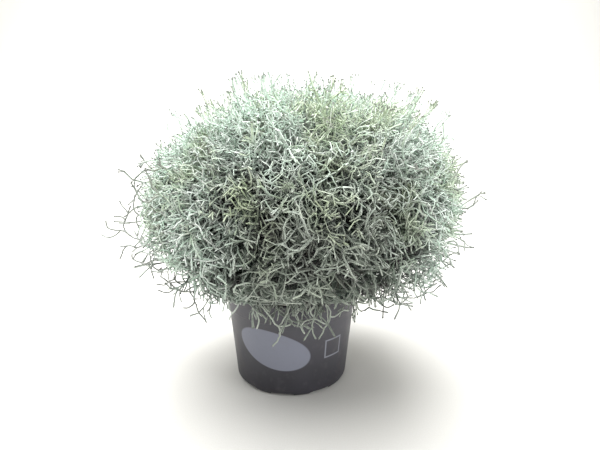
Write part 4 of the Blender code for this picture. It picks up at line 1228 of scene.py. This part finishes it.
def make_soil(rng):
    """The plug of potting mix: a turned form whose top is crumbled by waves, with loose crumbs on it."""
    foot_radius, foot = BASE_RADIUS - POT_WALL, FLOOR_TOP + EDGE
    top_radius = WALL_TOP_RADIUS - POT_WALL - SOIL_GAP
    wall_foot = (foot_radius - SOIL_GAP, FLOOR_TOP + SOIL_FOOT_ROUND[1])
    shoulder = (top_radius - SOIL_SHOULDER[0], SOIL_TOP - SOIL_SHOULDER[1])
    section = np.vstack([
        between((FLOOR_MIDDLE, foot), (foot_radius - SOIL_FOOT_ROUND[0], foot), 6),
        between(wall_foot, (top_radius, SOIL_TOP - SOIL_WALL_DROP), 14),
        between(shoulder, (SOIL_MIDDLE, SOIL_TOP), 46),
        [(SOIL_MIDDLE, SOIL_TOP)],
    ])
    azimuth = np.linspace(0, 2 * np.pi, SOIL_SIDES, endpoint=False)
    heights = np.repeat(section[:, 1:], len(azimuth), axis=1)
    x, y = section[:, :1] * np.cos(azimuth), section[:, :1] * np.sin(azimuth)
    bumps = np.zeros_like(x)
    for _ in range(SOIL_WAVES):
        direction = rng.normal(size=2)
        wave = 2 * np.pi / (rng.uniform(*SOIL_WAVE_MM) * MM)
        direction *= wave / np.linalg.norm(direction)
        phase = rng.uniform(0, SOIL_ANY_PHASE)
        bumps += np.sin(x * direction[0] + y * direction[1] + phase) / SOIL_WAVES_OVER
    heights = np.where(heights > SOIL_TOP - SOIL_BUMPS_FROM, heights + SOIL_BUMP * bumps, heights)
    peat = material_of(moist_peat, *PEAT_PATTERNS)
    soil = mesh_object("potting_mix", *turned_grid(section, azimuth, heights))
    show(soil, "potting_mix", peat, "root_ball")
    show(crumb_mesh(rng), "potting_mix", peat)


def crumb_mesh(rng):
    """Small lumps of peat: one twenty-sided shape, scaled, turned and set on the soil at random."""
    shape = bmesh.new()
    bmesh.ops.create_icosphere(shape, subdivisions=1, radius=1.0)
    corners = np.array([vertex.co[:] for vertex in shape.verts])
    faces = np.array([[vertex.index for vertex in face.verts] for face in shape.faces])
    shape.free()
    count = CRUMB_COUNT
    radius = CRUMB_REACH * np.sqrt(rng.uniform(0, 1, count))
    azimuth = rng.uniform(0, 2 * np.pi, count)
    size = rng.uniform(*CRUMB_MM, (count, 3)) * MM * rng.uniform(*CRUMB_SCALE, (count, 1))
    lumps = corners[None] * size[:, None] * rng.uniform(*CRUMB_KNOBS, (count, len(corners), 1))
    height = np.full(count, SOIL_TOP + CRUMB_RAISE)
    middle = np.stack([radius * np.cos(azimuth), radius * np.sin(azimuth), height], axis=1)
    points = (lumps + middle[:, None]).reshape(-1, 3)
    all_faces = (faces[None] + len(corners) * np.arange(count)[:, None, None]).reshape(-1, 3)
    return mesh_object("peat_crumbs", points, all_faces)


def make_stage():
    """A white paper sweep: flat floor, a quarter circle and an upright back."""
    bend_start = SWEEP_BACK - SWEEP_BEND
    profile = np.vstack([
        between((SWEEP_FRONT, 0), (bend_start, 0), FLOOR_ROWS),
        arc((bend_start, SWEEP_BEND), SWEEP_BEND, -90, 0, BEND_ROWS)[:-1],
        between((SWEEP_BACK, SWEEP_BEND), (SWEEP_BACK, SWEEP_HEIGHT), BACK_ROWS),
        [(SWEEP_BACK, SWEEP_HEIGHT)],
    ])
    y, x = np.meshgrid(profile[:, 0], np.linspace(-SWEEP_WIDTH, SWEEP_WIDTH, SWEEP_COLUMNS), indexing="ij")
    z = np.broadcast_to(profile[:, 1:] - SWEEP_DROP, x.shape)
    points = np.stack([x, y, z], axis=2).reshape(-1, 3)
    number = np.arange(x.size).reshape(x.shape)
    quads = np.stack([number[:-1, :-1], number[:-1, 1:], number[1:, 1:], number[1:, :-1]], axis=2)
    sweep = mesh_object("paper_sweep", points, quads.reshape(-1, 4))
    sweep.data.materials.append(material_of(white_paper, PAPER_PATTERN))


def make_light():
    """Square soft lights, each facing its target, and an even white room."""
    for name, place, target, size, power in LIGHTS:
        data = bpy.data.lights.new(name, "AREA")
        data.shape = "SQUARE"
        data.size = size
        data.energy = power
        light = bpy.data.objects.new(name, data)
        bpy.context.scene.collection.objects.link(light)
        light.location = place
        towards = np.array(target) - np.array(place)
        tilt = math.acos(-towards[2] / np.linalg.norm(towards))
        light.rotation_euler = (tilt, 0.0, math.atan2(-towards[0], towards[1]))
    world = bpy.data.worlds.new("white_room")
    world.use_nodes = True
    background = world.node_tree.nodes["Background"]
    background.inputs["Color"].default_value = WHITE
    background.inputs["Strength"].default_value = ROOM_LIGHT
    bpy.context.scene.world = world
    bpy.context.scene.view_settings.view_transform = "Standard"


def make_camera():
    """A 28.8 mm lens at the photograph's place: 0.45 m in front, 13 degrees down."""
    data = bpy.data.cameras.new("camera")
    data.lens = LENS
    data.sensor_width = SENSOR
    data.clip_start = NEAREST_SEEN
    camera = bpy.data.objects.new("camera", data)
    bpy.context.scene.collection.objects.link(camera)
    camera.location = CAMERA_PLACE
    camera.rotation_euler = (math.radians(90 - CAMERA_DOWN_DEG), 0.0, 0.0)
    bpy.context.scene.camera = camera


def make_twigs(rng):
    """Grow the whole bush as one table of nodes, then make one piece of each spray."""
    bush, hubs = start_bush(rng)
    grow(bush, hubs, rng)
    raise_sprigs(bush, rng)
    join_leaders(bush)
    hang_twigs(bush, hubs, rng)
    finish_rows(bush, rng)
    felt = material_of(felted_silver_twig, *WOOL_PATTERNS)
    for number, name in enumerate(SPRAYS):
        points, faces, values = spray_mesh(bush, number)
        piece = mesh_object(name.replace("spray", "silver_twigs"), points, faces, **values)
        show(piece, "silver_twig", felt, name)


rng = np.random.default_rng(SEED)
make_camera()
make_light()
make_stage()
make_pot()
make_soil(rng)
make_twigs(rng)
